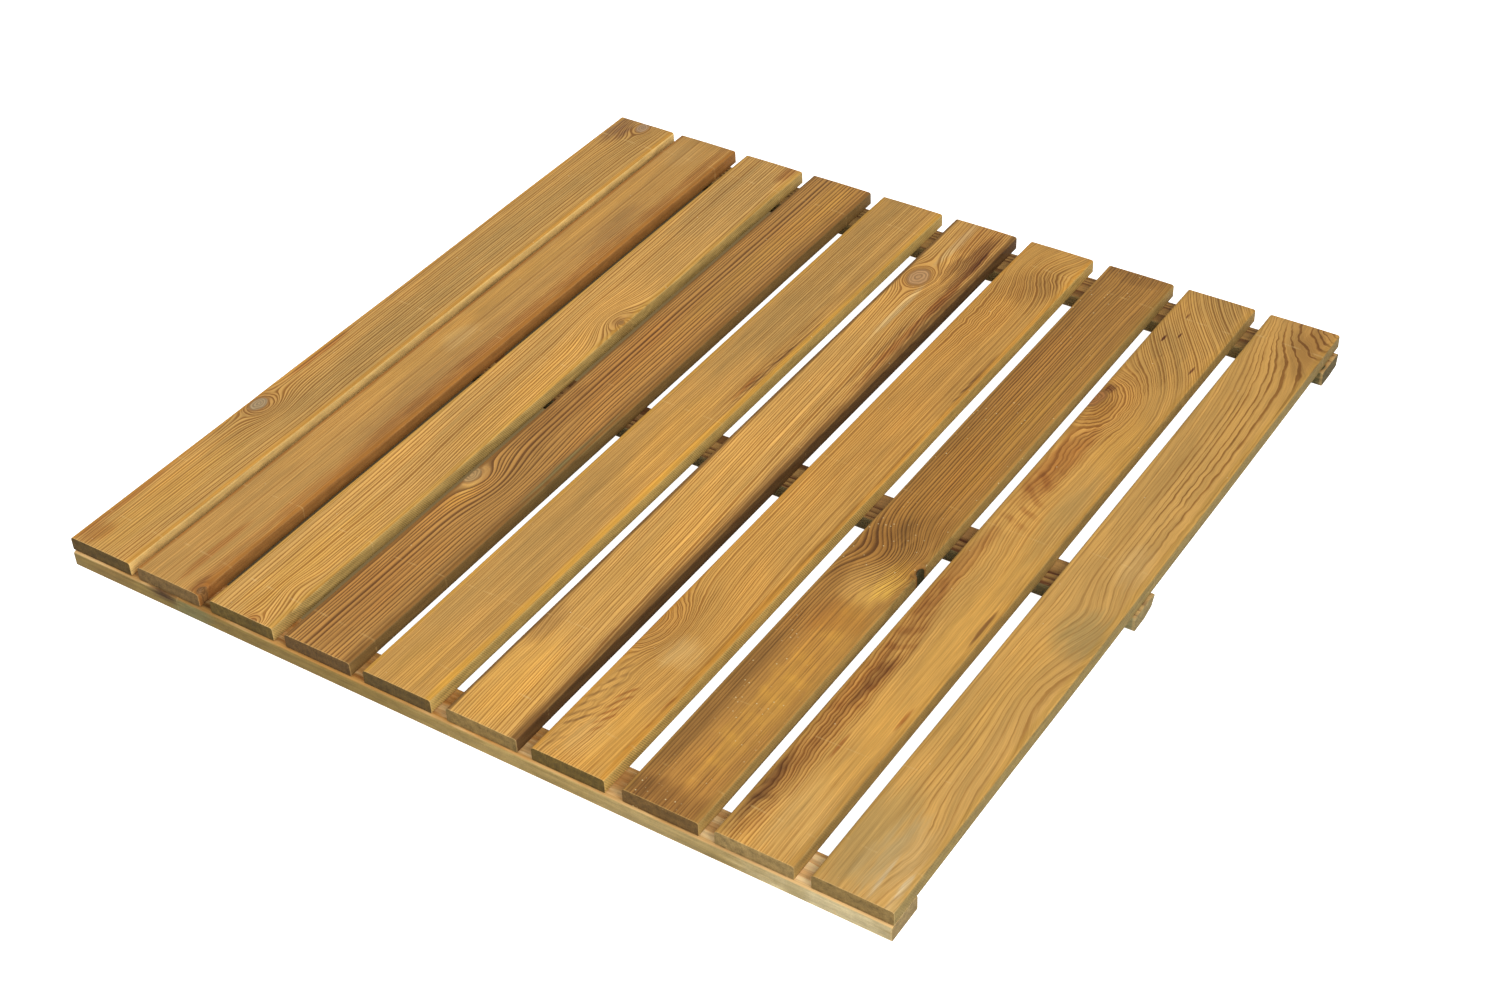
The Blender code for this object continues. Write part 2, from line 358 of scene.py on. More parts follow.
# %% Cards for the slats
SLAT_CARDS = {
    "slat_01": dict(
        wood=STRAW, tint=(1.17, 1.19, 1.16),
        pith=(-170, -46), lean=(-6, 0), ring=3.1, bold=1.05, wander=1.6,
        knots=[
            knot(-28, -222, 9, 16, 1.0, 0.3, (0.40, 0.28, 0.155)),
            knot(0, 489, 8, 13, 0.35, 0.3, (0.44, 0.27, 0.15)),
        ],
        swells=[swell(-10, -222, 16, 26, 7), swell(-6, 455, 20, 40, 5)],
        accents=[
            accent(-14, -222, 26, 60, 1.3), accent(6, -60, 22, 200, 0.35), accent(0, 470, 22, 50, 0.5),
        ],
        stains=[
            stain(-28, 470, 15, 34, PLUM, 0.85), stain(-34, -120, 4, 70, RED_BROWN, 0.7),
            stain(-38, -420, 5, 110, RED_BROWN, 0.75), stain(12, 100, 24, 420, ASH, 0.35),
            stain(-26, -480, 16, 20, RED_BROWN, 0.5), stain(-36, 90, 3, 200, DARK_BROWN, 0.5),
            stain(-2, 492, 14, 12, PALE, 0.35), stain(0, -400, 26, 120, HONEY, 0.35),
            stain(-30, -222, 13, 22, PLUM, 0.35),
        ],
        side=0.75, side_colour=(0.78, 0.53, 0.19), round=0.75, round_colour=(0.50, 0.235, 0.035),
        end_colour=(0.066, 0.043, 0.012),
    ),
    "slat_02": dict(
        wood=STRAW, tint=(1.04, 1.02, 0.98),
        pith=(160, -36), lean=(-4, 0), ring=2.6, bold=0.6, wander=1.4,
        knots=[knot(40, -491, 4, 8, 0.5, 2.0, (0.25, 0.125, 0.040))],
        accents=[accent(30, 200, 10, 300, 0.4)],
        stains=[
            stain(32, 0, 8, 700, RED_BROWN, 0.55), stain(10, -440, 5, 60, RED_BROWN, 0.6),
            stain(-10, -6, 12, 26, PALE, 0.40), stain(20, -40, 14, 220, PLUM, 0.22),
            stain(14, 270, 18, 60, PLUM, 0.3), stain(-26, 60, 14, 300, HONEY, 0.25),
            stain(-20, 455, 26, 26, PALE, 0.15), stain(34, -488, 10, 14, DARK_BROWN, 0.6),
        ],
        side=0.85, side_colour=(0.30, 0.125, 0.030), round=0.85, round_colour=(0.36, 0.140, 0.020),
        end_colour=(0.167, 0.105, 0.039),
    ),
    "slat_03": dict(
        wood=GOLD, tint=(1.16, 1.19, 1.26),
        pith=(-150, -50), lean=(-28, 0), ring=3.2, bold=1.1, wander=2.0,
        knots=[
            knot(37, 112, 3, 10, 0.3, 0.3, (0.36, 0.18, 0.05)),
            knot(18, -503, 3, 9, 0.35, 0.3, (0.40, 0.17, 0.05)),
        ],
        swells=[swell(26, 112, 26, 44, -17), swell(20, -260, 30, 90, 5), swell(22, -440, 16, 26, -7)],
        accents=[
            accent(26, 112, 22, 50, 0.8), accent(20, -470, 24, 34, 0.8), accent(16, -100, 22, 180, 0.5),
            accent(-10, 430, 40, 90, 0.3),
        ],
        stains=[
            stain(30, 488, 9, 22, RED_BROWN, 0.7), stain(0, 400, 40, 90, ASH, 0.35),
            stain(10, -400, 26, 110, HONEY, 0.6), stain(33, 112, 5, 10, DARK_BROWN, 0.6),
            stain(20, -40, 18, 120, HONEY, 0.35), stain(14, -497, 10, 8, RED_BROWN, 0.5),
        ],
        side=0.85, side_colour=(0.44, 0.29, 0.085), round=0.5, round_colour=(0.50, 0.26, 0.036),
        end_colour=(0.086, 0.058, 0.011), hatch=1.6,
    ),
    "slat_04": dict(
        wood=UMBER, tint=(1.05, 1.02, 0.92),
        pith=(-190, -40), lean=(-4, 0), ring=4.6, bold=0.92, wander=2.6,
        knots=[knot(-38, -202, 9, 14, 0.3, 0.3, (0.48, 0.30, 0.13))],
        swells=[swell(-8, -200, 26, 46, 9), swell(20, -150, 20, 60, 3)],
        accents=[accent(-10, -190, 24, 80, 0.4)],
        stains=[
            stain(-34, -204, 15, 32, PALE, 0.60), stain(-26, -230, 10, 30, HONEY, 0.5),
            stain(40, -130, 6, 80, MOSS, 0.9), stain(4, 330, 12, 260, HONEY, 0.25),
            stain(22, 420, 12, 90, HONEY, 0.2), stain(-10, -400, 30, 90, RED_BROWN, 0.3),
            stain(-30, -80, 10, 60, DARK_BROWN, 0.4), stain(34, 0, 7, 500, DARK_BROWN, 0.5),
            stain(-16, 40, 18, 160, RED_BROWN, 0.3), stain(42, -172, 3, 6, DARK_BROWN, 1.0),
        ],
        side=0.9, side_colour=(0.170, 0.105, 0.036), round=0.8, round_colour=(0.210, 0.095, 0.020),
        end_colour=(0.111, 0.064, 0.023),
    ),
    "slat_05": dict(
        wood=STRAW, tint=(1.08, 1.06, 0.97),
        pith=(200, -30), lean=(3, 0), ring=2.7, bold=0.70, wander=1.0,
        swells=[swell(36, 130, 12, 60, -3, 2.0)],
        accents=[accent(30, 120, 14, 110, 0.7), accent(0, 330, 40, 190, 0.3)],
        stains=[
            stain(33, 128, 2.5, 50, DARK_BROWN, 0.9), stain(28, 84, 2.5, 30, RED_BROWN, 0.8),
            stain(37, -250, 3, 380, HONEY, 0.8), stain(-10, 300, 34, 240, ASH, 0.40),
            stain(-14, -300, 30, 160, ASH, 0.20), stain(10, -40, 24, 90, HONEY, 0.3),
            stain(10, -460, 34, 50, HONEY, 0.3), stain(35, 190, 2, 40, DARK_BROWN, 0.7),
        ],
        curls=[curl(31, 112, 6, 70, 22, -4.0, DARK_BROWN, 0.8)],
        side=0.85, side_colour=(0.48, 0.33, 0.105), round=0.6, round_colour=(0.58, 0.30, 0.036),
        end_colour=(0.082, 0.055, 0.018), hatch=1.3,
    ),
    "slat_06": dict(
        wood=GOLD, tint=(1.16, 1.17, 1.18),
        pith=(-170, -60), lean=(-44, 0), ring=2.9, bold=0.95, wander=2.2,
        knots=[knot(-18, 366, 12, 19, 0.6, 0.3, (0.47, 0.26, 0.11))],
        swells=[
            swell(24, 335, 28, 105, -15, 4.0), swell(10, 390, 30, 50, 8, 4.0),
            swell(-34, -380, 18, 30, 4, 2.0),
        ],
        accents=[
            accent(20, 370, 18, 150, 2.0), accent(-16, 366, 24, 60, 0.7), accent(14, 160, 16, 160, 0.5),
            accent(-20, -400, 30, 60, -0.3),
        ],
        stains=[
            stain(22, 410, 9, 70, DARK_BROWN, 0.8), stain(30, 280, 6, 150, RED_BROWN, 0.9),
            stain(20, 200, 3, 110, DARK_BROWN, 0.6), stain(8, 400, 9, 28, DARK_BROWN, 0.6),
            stain(-30, -352, 12, 30, DARK_BROWN, 0.5), stain(-4, 290, 4, 60, PALE, 0.8),
            stain(-12, 450, 5, 50, PALE, 0.7), stain(-4, -440, 40, 80, HONEY, 0.45),
            stain(36, 0, 6, 700, DARK_BROWN, 0.6), stain(0, -180, 30, 160, HONEY, 0.2),
            stain(10, 470, 40, 40, RED_BROWN, 0.35),
        ],
        side=0.95, side_colour=(0.075, 0.036, 0.012), round=0.9, round_colour=(0.150, 0.068, 0.015),
        end_colour=(0.210, 0.138, 0.044),
    ),
    "slat_07": dict(
        wood=GOLD, tint=(1.05, 1.02, 0.92),
        pith=(190, -40), lean=(4, 0), ring=2.7, bold=0.85, wander=2.0,
        knots=[knot(-50, -296, 8, 32, 0.2, 0.0)],
        swells=[
            swell(-20, -410, 30, 60, 10, 6.0), swell(-16, 330, 30, 70, 4, 8.0),
            swell(4, 452, 40, 44, -26, 5.0), swell(-36, -440, 16, 60, 0, 4.0),
        ],
        accents=[
            accent(-26, -420, 18, 66, -0.45), accent(-24, -290, 24, 60, 0.6),
            accent(0, 400, 34, 60, 0.9), accent(-20, 330, 24, 70, 0.6), accent(20, -440, 20, 60, -0.4),
            accent(6, -322, 18, 24, -0.4),
        ],
        stains=[
            stain(4, 405, 24, 34, DARK_BROWN, 0.35), stain(36, 230, 3, 50, DARK_BROWN, 0.9),
            stain(37, 70, 2.5, 60, DARK_BROWN, 0.7), stain(6, -322, 20, 24, PALE, 0.45),
            stain(22, -450, 20, 60, HONEY, 0.5), stain(37, -300, 3, 180, ORANGE, 0.8),
            stain(-2, -462, 18, 30, PALE, 0.25), stain(0, 180, 40, 200, RED_BROWN, 0.14),
            stain(38, -90, 2, 60, DARK_BROWN, 0.7),
        ],
        curls=[
            curl(-27, -418, 13, 72, 17, -1.8, DARK_BROWN, 0.8),
            curl(-6, -412, 9, 46, 15, -1.6, RED_BROWN, 0.8),
            curl(36, 215, 3, 60, 22, -4.0, DARK_BROWN, 0.9),
            curl(37, -380, 3, 90, 34, -4.0, RED_BROWN, 0.7),
        ],
        side=0.85, side_colour=(0.47, 0.32, 0.100), round=0.55, round_colour=(0.55, 0.255, 0.030),
        end_colour=(0.097, 0.070, 0.017), hatch=1.8,
    ),
    "slat_08": dict(
        wood=UMBER, tint=(0.95, 0.90, 0.73),
        pith=(-190, -36), lean=(0, 0), ring=3.4, bold=0.80, wander=1.2,
        knots=[knot(44, -96, 6, 10, 1.0, 2.6, (0.030, 0.034, 0.014))],
        swells=[swell(6, -92, 44, 44, 30, 2.0), swell(0, 470, 40, 50, 3, 2.0)],
        accents=[
            accent(20, -100, 26, 40, 0.6), accent(-6, 200, 40, 240, 0.25),
            accent(10, -320, 32, 160, -0.45), accent(0, -480, 44, 30, -0.3),
        ],
        stains=[
            stain(8, -138, 24, 30, (0.66, 0.36, 0.105), 0.9), stain(26, -122, 12, 30, HONEY, 0.6),
            stain(-14, -66, 24, 34, DARK_BROWN, 0.6), stain(14, -40, 22, 40, DARK_BROWN, 0.35),
            stain(-2, 492, 44, 14, DARK_BROWN, 0.5), stain(16, -300, 20, 150, HONEY, 0.45),
            stain(0, -492, 50, 22, DARK_BROWN, 0.8), stain(-30, -330, 12, 210, DARK_BROWN, 0.65),
            stain(-34, 250, 8, 260, DARK_BROWN, 0.5), stain(20, 180, 12, 150, HONEY, 0.3),
            stain(0, -200, 34, 24, RED_BROWN, 0.4), stain(44, -96, 7, 16, DARK_BROWN, 1.0),
            stain(0, 60, 40, 160, ORANGE, 0.30),
        ],
        curls=[curl(8, -320, 32, 150, 34, 0.25, HONEY, 0.2)],
        side=0.85, side_colour=(0.40, 0.28, 0.105), round=0.4, round_colour=(0.42, 0.235, 0.055),
        end_colour=(0.165, 0.098, 0.035), hatch=0.6, specks=2.2,
    ),
    "slat_09": dict(
        wood=GOLD, tint=(0.98, 0.97, 0.91),
        pith=(-200, -50), lean=(-40, 0), ring=3.3, bold=0.62, wander=2.2,
        knots=[knot(-40, 256, 10, 40, 0.35, 0.3, (0.40, 0.17, 0.05))],
        swells=[
            swell(-24, -300, 26, 140, 4, 5.0), swell(-10, 120, 28, 60, 10, 5.0),
            swell(0, 560, 200, 170, -120), swell(20, -150, 40, 200, 6), swell(-10, -60, 30, 50, 6, 5.0),
            swell(-24, -420, 18, 34, 9, 2.0),
        ],
        accents=[
            accent(-26, -320, 18, 180, 0.7), accent(-16, 240, 26, 60, 0.7),
            accent(0, 420, 50, 110, 0.7), accent(20, -250, 18, 260, -0.45),
            accent(20, 100, 20, 80, -0.3),
        ],
        stains=[
            stain(-22, 130, 20, 70, RED_BROWN, 0.75), stain(-38, 278, 8, 10, SCAR, 1.0),
            stain(-26, 235, 14, 28, ORANGE, 0.45), stain(-24, -300, 16, 170, RED_BROWN, 0.6),
            stain(-34, -430, 9, 50, DARK_BROWN, 0.75), stain(-30, -180, 12, 70, RED_BROWN, 0.65),
            stain(-20, -250, 8, 40, DARK_BROWN, 0.6), stain(22, -200, 18, 300, HONEY, 0.35),
            stain(16, -450, 26, 60, PALE, 0.25), stain(24, 60, 14, 80, ASH, 0.5),
            stain(33, -290, 2, 16, RED_BROWN, 1.0), stain(-1, -352, 2, 18, RED_BROWN, 0.9),
            stain(36, -140, 2, 24, DARK_BROWN, 1.0), stain(-30, -60, 12, 60, RED_BROWN, 0.55),
            stain(24, 190, 20, 60, HONEY, 0.4), stain(0, 440, 50, 90, ASH, 0.3),
            stain(-19, 449, 1.6, 7, SCAR, 1.0), stain(-10, 409, 1.5, 6, SCAR, 1.0),
            stain(-24, 396, 1.6, 6, SCAR, 1.0), stain(30, 354, 1.5, 8, SCAR, 1.0),
        ],
        curls=[
            curl(-24, -250, 18, 130, 30, -0.5, RED_BROWN, 0.5),
            curl(-30, -440, 14, 60, 24, -0.8, DARK_BROWN, 0.45),
            curl(-16, 60, 22, 70, 26, 0.4, RED_BROWN, 0.5),
        ],
        side=0.85, side_colour=(0.34, 0.22, 0.072), round=0.5, round_colour=(0.42, 0.22, 0.040),
        end_colour=(0.316, 0.220, 0.088), hatch=0.5, pockets=1.0,
    ),
    "slat_10": dict(
        wood=GOLD, tint=(0.92, 0.94, 0.97),
        pith=(62, -66), lean=(12, 0), ring=3.4, bold=0.62, late_start=0.58, wander=2.2,
        knots=[knot(52, 522, 10, 62, 0.4, 0.0)],
        swells=[
            swell(34, -200, 34, 56, -18, 3.0), swell(24, -70, 34, 46, 16, 2.0),
            swell(30, -420, 26, 60, 16, 3.0), swell(28, 120, 26, 120, 2, 6.0),
        ],
        accents=[
            accent(28, 440, 36, 90, 1.5), accent(16, 230, 22, 160, 0.8),
            accent(-4, -440, 44, 70, -0.55), accent(30, -200, 22, 70, 0.1),
            accent(10, -90, 24, 60, -0.2),
        ],
        stains=[
            stain(-16, -430, 30, 70, MOSS, 0.35), stain(16, -450, 26, 60, PALE, 0.35),
            stain(20, -95, 26, 34, MOSS, 0.45), stain(20, 20, 16, 34, PALE, 0.25),
            stain(-10, -230, 30, 110, HONEY, 0.3), stain(26, 430, 20, 80, ORANGE, 0.25),
            stain(38, -497, 6, 16, PALE, 0.8), stain(14, -470, 2, 30, PALE, 0.6),
            stain(36, -470, 3, 14, PALE, 0.9), stain(6, 300, 60, 230, (0.53, 0.275, 0.062), 0.3),
            stain(26, 455, 24, 50, DARK_BROWN, 0.25),
        ],
        side=0.95, side_colour=(0.27, 0.19, 0.060), round=0.5, round_colour=(0.50, 0.27, 0.050),
        end_colour=(0.267, 0.172, 0.055), hatch=0.5, spring=1.3,
    ),
}
print("cards for", len(SLAT_CARDS), "slats")

# %% [markdown]
# ## Timber as a solid
#
# A picture of wood wrapped round a board never meets at the corners. Here the wood is
# worked out in space instead: a log is a set of cones round its pith, one for each
# year, and a board is only a cut through them. The same rings then run over the top as
# lines, round the edge, and across the sawn end as arcs, as they do in a real board.
#
# Each effect is a node group, so that all thirteen boards share it and only their
# values differ. A few helpers keep the groups readable.


# %% Group helpers
def ramp_between(tree, value, low, high, start=0.0, end=1.0):
    """Smoothly from start to end as the value goes from low to high."""
    inputs = {"Value": value, "From Min": low, "From Max": high, "To Min": start, "To Max": end}
    return add(tree, "ShaderNodeMapRange", inputs, interpolation_type="SMOOTHSTEP").outputs[0]


def apart(tree, vector):
    """A vector's three numbers."""
    return add(tree, "ShaderNodeSeparateXYZ", {0: vector}).outputs


def square_sum(tree, first, second):
    return calc(tree, "ADD", times(tree, first, first), times(tree, second, second))


def summed(tree, start, *terms):
    """A start value plus the product of each (value, amount) pair."""
    for value, amount in terms:
        start = calc(tree, "MULTIPLY_ADD", value, amount, start)
    return start


def stretched_noise(tree, vector, scale, detail=2.0, roughness=0.5, seed=0.0):
    """Noise from -0.5 to 0.5, with its own scale, in repeats a metre, along each axis."""
    shift = add(tree, "ShaderNodeCombineXYZ", {0: seed, 1: times(tree, seed, 1.7), 2: seed})
    inputs = {0: vector, 1: scale, 2: shift.outputs[0]}
    place = add(tree, "ShaderNodeVectorMath", inputs, operation="MULTIPLY_ADD").outputs[0]
    inputs = {"Vector": place, "Scale": 1.0, "Detail": detail, "Roughness": roughness}
    return calc(tree, "SUBTRACT", add(tree, "ShaderNodeTexNoise", inputs).outputs[0], 0.5)


def new_group(name, inputs, outputs):
    """A group that takes a Vector and the given values; gives the group and its two ends."""
    group = bpy.data.node_groups.new(name, "ShaderNodeTree")
    group.interface.new_socket("Vector", in_out="INPUT", socket_type="NodeSocketVector")
    for label, value in inputs.items():
        kind = "NodeSocketVector" if value is None else "NodeSocketFloat"
        socket = group.interface.new_socket(label, in_out="INPUT", socket_type=kind)
        if value is not None:
            socket.default_value = value
    for label in outputs:
        group.interface.new_socket(label, in_out="OUTPUT", socket_type="NodeSocketFloat")
    return group, group.nodes.new("NodeGroupInput").outputs, group.nodes.new("NodeGroupOutput").inputs


def use_group(tree, group, inputs):
    return add(tree, "ShaderNodeGroup", inputs, node_tree=group).outputs


# %% [markdown]
# ### Where a branch passed
#
# Wood grows round its branches as water runs round a stone: the lines part in front of
# a knot, crowd past its sides and close behind it. The formula for that stream is short,
# and the group gives it out as a sideways shift of the place that later groups read.
# Inside the knot's reach the lines run round it in full circles. The knot also has an
# eye with rings of its own and a dark rim of bark.

# %% Knot group
# a knot is this much longer than wide, and its outline strays by this share of its reach
KNOT_LENGTH = 1.45
KNOT_WAVER = 0.22
LEAST_AWAY = 0.1 * MM

group, given, result = new_group(
    "knot", {"X": 0.0, "Y": 0.0, "Size": 0.01, "Reach": 0.03}, ("Shift", "Eye", "Ring", "Rim", "Pull")
)
knot_group = group
place = apart(group, given["Vector"])
rough_edge = stretched_noise(group, given["Vector"], (55.0, 40.0, 55.0), 2.0)
off_x = calc(group, "SUBTRACT", place[0], given["X"])
off_y = calc(group, "DIVIDE", calc(group, "SUBTRACT", place[1], given["Y"]), KNOT_LENGTH)
away = calc(group, "SQRT", square_sum(group, off_x, off_y))
waver = times(group, given["Reach"], KNOT_WAVER)
away = calc(group, "MAXIMUM", summed(group, away, (rough_edge, waver)), LEAST_AWAY)
share = calc(group, "DIVIDE", given["Reach"], away)
inside = calc(group, "GREATER_THAN", share, 1.0)
passing = times(group, times(group, share, share), times(group, off_x, -1.0))
round_it = calc(group, "SUBTRACT", calc(group, "SUBTRACT", away, given["Reach"]), off_x)
feed(group, result["Shift"], summed(group, passing, (inside, calc(group, "SUBTRACT", round_it, passing))))
distance = calc(group, "DIVIDE", away, given["Size"])
feed(group, result["Eye"], ramp_between(group, distance, 1.15, 0.85))
ring_count = summed(group, times(group, distance, 3.0), (rough_edge, 2.0))
feed(group, result["Ring"], ramp_between(group, calc(group, "PINGPONG", ring_count, 0.5), 0.1, 0.42))
outer = ramp_between(group, distance, 1.32, 1.04)
inner = ramp_between(group, distance, 0.80, 1.0)
feed(group, result["Rim"], times(group, outer, inner))
feed(group, result["Pull"], ramp_between(group, share, 0.45, 1.3))
print("group knot:", len(group.nodes), "nodes")

# %% [markdown]
# ### Where the grain swells
#
# A log is never a clean cone. Where its surface bulged, the saw left arches, and near a
# branch the years are crumpled into curls. A swell carries the lines sideways inside a
# soft oval, and a ruffle shakes them there with short noise.

# %% Swell group
OVAL = {"X": 0.0, "Y": 0.0, "Wide": 0.02, "Long": 0.05}


def oval_spread(tree, place, given):
    """How far a place is from an oval's middle, squared, and one on its border."""
    across = calc(tree, "DIVIDE", calc(tree, "SUBTRACT", place[0], given["X"]), given["Wide"])
    along = calc(tree, "DIVIDE", calc(tree, "SUBTRACT", place[1], given["Y"]), given["Long"])
    return square_sum(tree, across, along)


group, given, result = new_group("swell", {**OVAL, "Push": 0.0, "Ruffle": 0.0}, ("Shift",))
swell_group = group
spread = oval_spread(group, apart(group, given["Vector"]), given)
oval = calc(group, "EXPONENT", times(group, spread, -1.0))
crumple = stretched_noise(group, given["Vector"], (26.0, 58.0, 26.0), 1.0, 0.5, 2.0)
carried = calc(group, "SUBTRACT", times(group, crumple, given["Ruffle"]), given["Push"])
feed(group, result["Shift"], times(group, carried, oval))
print("group swell:", len(group.nodes), "nodes")

# %% [markdown]
# ### The years of the log
#
# The distance from the pith, divided by the width of a year, counts the rings. Inside
# one year the wood starts pale and soft, then darkens into a hard late band that ends
# abruptly. The pith leans and wanders, which turns straight lines into the tall arches
# of a slab-sawn face, and no two years are equally wide or equally dark.

# %% Growth ring group
FINE_WANDER = 1.1 * MM
# shares of a year: late wood is at its darkest at the first, and fades after the second
LATE_FULL = 0.9
LATE_OVER = 0.92

group, given, result = new_group(
    "growth_rings",
    {
        "Pith X": 0.0, "Pith Z": -0.05, "Lean X": 0.0, "Lean Z": 0.0, "Ring Width": 0.004,
        "Wander": 0.002, "Late Start": 0.3, "Seed": 0.0,
    },
    ("Late", "Year Tone"),
)
rings_group = group
place = apart(group, given["Vector"])
seed = given["Seed"]
slow = stretched_noise(group, given["Vector"], (9.0, 2.6, 9.0), 1.0, 0.5, seed)
middle = stretched_noise(group, given["Vector"], (34.0, 11.0, 34.0), 2.0, 0.5, seed)
fast = stretched_noise(group, given["Vector"], (210.0, 34.0, 210.0), 2.0, 0.6, seed)
pith_x = summed(group, given["Pith X"], (place[1], given["Lean X"]))
pith_z = summed(group, given["Pith Z"], (place[1], given["Lean Z"]))
out_x = calc(group, "SUBTRACT", place[0], pith_x)
out_z = calc(group, "SUBTRACT", place[2], pith_z)
wobble = summed(group, times(group, slow, 2.2), (middle, 0.55))
radius = calc(group, "SQRT", square_sum(group, out_x, out_z))
radius = summed(group, radius, (wobble, given["Wander"]), (fast, FINE_WANDER))
years = calc(group, "DIVIDE", radius, given["Ring Width"])
uneven = {"W": summed(group, seed, (years, 0.37)), "Detail": 1.0, "Scale": 1.0}
uneven = add(group, "ShaderNodeTexNoise", uneven, noise_dimensions="1D").outputs[0]
years = summed(group, years, (uneven, 1.7))
part = calc(group, "FRACT", years)
number = {"W": calc(group, "ADD", calc(group, "FLOOR", years), seed)}
tone = add(group, "ShaderNodeTexWhiteNoise", number, noise_dimensions="1D").outputs["Value"]
rise = ramp_between(group, part, given["Late Start"], LATE_FULL)
fall = ramp_between(group, part, 1.0, LATE_OVER)
feed(group, result["Late"], times(group, rise, fall))
feed(group, result["Year Tone"], calc(group, "SUBTRACT", tone, 0.5))
print("group growth_rings:", len(group.nodes), "nodes")

# %% [markdown]
# ### Fibres
#
# Between the rings a planed softwood face is a mass of very long thin fibres. Noise
# stretched fifty times along the board gives the fine silk, and a coarser one the soft
# streaks that run for a hand's width and fade. The clouds are the slow change of tone
# from one part of a board to the next.

# %% Fibre group
group, given, result = new_group("fibres", {"Seed": 0.0}, ("Silk", "Streak", "Cloud"))
fibre_group = group
for label, scale, detail, roughness in (
    ("Silk", (1150.0, 22.0, 1150.0), 2.0, 0.65),
    ("Streak", (230.0, 4.5, 230.0), 3.0, 0.6),
    ("Cloud", (17.0, 5.5, 17.0), 3.0, 0.55),
):
    noisy = stretched_noise(group, given["Vector"], scale, detail, roughness, given["Seed"])
    feed(group, result[label], noisy)
print("group fibres:", len(group.nodes), "nodes")

# %% [markdown]
# ### Stains
#
# Resin, heartwood and the preservative leave soft patches. One group makes a patch
# from a place and two widths, and breaks its border along the grain so that it looks
# soaked in and not sprayed on.

# %% Stain group
group, given, result = new_group("stain", OVAL, ("Mask",))
stain_group = group
soaked = stretched_noise(group, given["Vector"], (150.0, 16.0, 150.0), 4.0, 0.65)
broad = stretched_noise(group, given["Vector"], (34.0, 12.0, 34.0), 2.0, 0.6, 3.0)
spread = oval_spread(group, apart(group, given["Vector"]), given)
spread = summed(group, spread, (soaked, 3.4), (broad, 2.6))
feed(group, result["Mask"], ramp_between(group, spread, 1.9, -0.2))
print("group stain:", len(group.nodes), "nodes")

# %% [markdown]
# ### Curls
#
# Over a hidden branch the fibres dive and rise, and the plane cuts them as a row of
# short slanted waves. Even waves would look printed, so noise bends the rows before
# they are cut into thin peaks, and more noise breaks them up.

# %% Curl group
group, given, result = new_group("curls", {**OVAL, "Period": 0.02, "Tilt": 0.0}, ("Mask",))
curl_group = group
place = apart(group, given["Vector"])
bend = stretched_noise(group, given["Vector"], (34.0, 15.0, 34.0), 2.0, 0.5, 5.0)
slanted = summed(group, place[1], (place[0], given["Tilt"]))
phase = summed(group, calc(group, "DIVIDE", slanted, given["Period"]), (bend, 1.2))
wave = ramp_between(group, calc(group, "PINGPONG", phase, 0.5), 0.18, 0.44)
broken = ramp_between(group, stretched_noise(group, given["Vector"], (70.0, 34.0, 70.0), 2.0), -0.16, 0.06)
oval = ramp_between(group, summed(group, oval_spread(group, place, given), (bend, 1.5)), 1.3, 0.2)
feed(group, result["Mask"], times(group, oval, times(group, wave, broken)))
print("group curls:", len(group.nodes), "nodes")

# %% [markdown]
# ### Faces, edges and marks
#
# Preservative stays green on the narrow sides, which keep their saw marks, and goes
# dark in the open pores of a sawn end. The rounded edges are where the plane pressed:
# they show as a warmer line. Sticks laid between the boards in the drying stack leave
# faint pale bars right across, and dust and dried salts leave pale specks.

# %% Face group
SAW_STEP = 2.7 * MM

group, given, result = new_group(
    "faces",
    {"Normal": None, "Half Width": 0.0425, "Half Length": 0.5},
    ("Side", "End", "Round", "Rim", "Ripple", "Fuzz"),
)
face_group = group
place = apart(group, given["Vector"])
turn = apart(group, given["Normal"])
side = ramp_between(group, calc(group, "ABSOLUTE", turn[0]), 0.55, 0.97)
end = ramp_between(group, calc(group, "ABSOLUTE", turn[1]), 0.55, 0.9)
edge_noise = stretched_noise(group, given["Vector"], (60.0, 14.0, 60.0), 3.0, 0.6)
from_side = calc(group, "SUBTRACT", given["Half Width"], calc(group, "ABSOLUTE", place[0]))
from_side = summed(group, from_side, (edge_noise, 5.0 * MM))
from_end = calc(group, "SUBTRACT", given["Half Length"], calc(group, "ABSOLUTE", place[1]))
from_end = summed(group, from_end, (edge_noise, 1.2 * MM))
rounding = ramp_between(group, from_side, 7.5 * MM, 3.5 * MM)
# near each sawn end the top gets a pale line: partly edge wear, partly a painted highlight on the arris
rim = ramp_between(group, from_end, 1.4 * MM, 0.3 * MM)
feed(group, result["Side"], side)
feed(group, result["End"], end)
feed(group, result["Round"], times(group, rounding, calc(group, "SUBTRACT", 1.0, side)))
feed(group, result["Rim"], times(group, rim, calc(group, "SUBTRACT", 1.0, end)))
slant = summed(group, place[1], (place[2], 0.7))
ripple = calc(group, "SINE", times(group, slant, 2 * math.pi / SAW_STEP))
ripple = times(group, ripple, side)
feed(group, result["Ripple"], times(group, ripple, ramp_between(group, edge_noise, -0.25, 0.2)))
fine_tear = stretched_noise(group, given["Vector"], (520.0, 520.0, 520.0), 3.0, 0.7)
coarse_tear = stretched_noise(group, given["Vector"], (120.0, 60.0, 160.0), 2.0)
torn_where = calc(group, "MAXIMUM", end, times(group, side, 0.45))
feed(group, result["Fuzz"], times(group, calc(group, "ADD", fine_tear, coarse_tear), torn_where))
print("group faces:", len(group.nodes), "nodes")

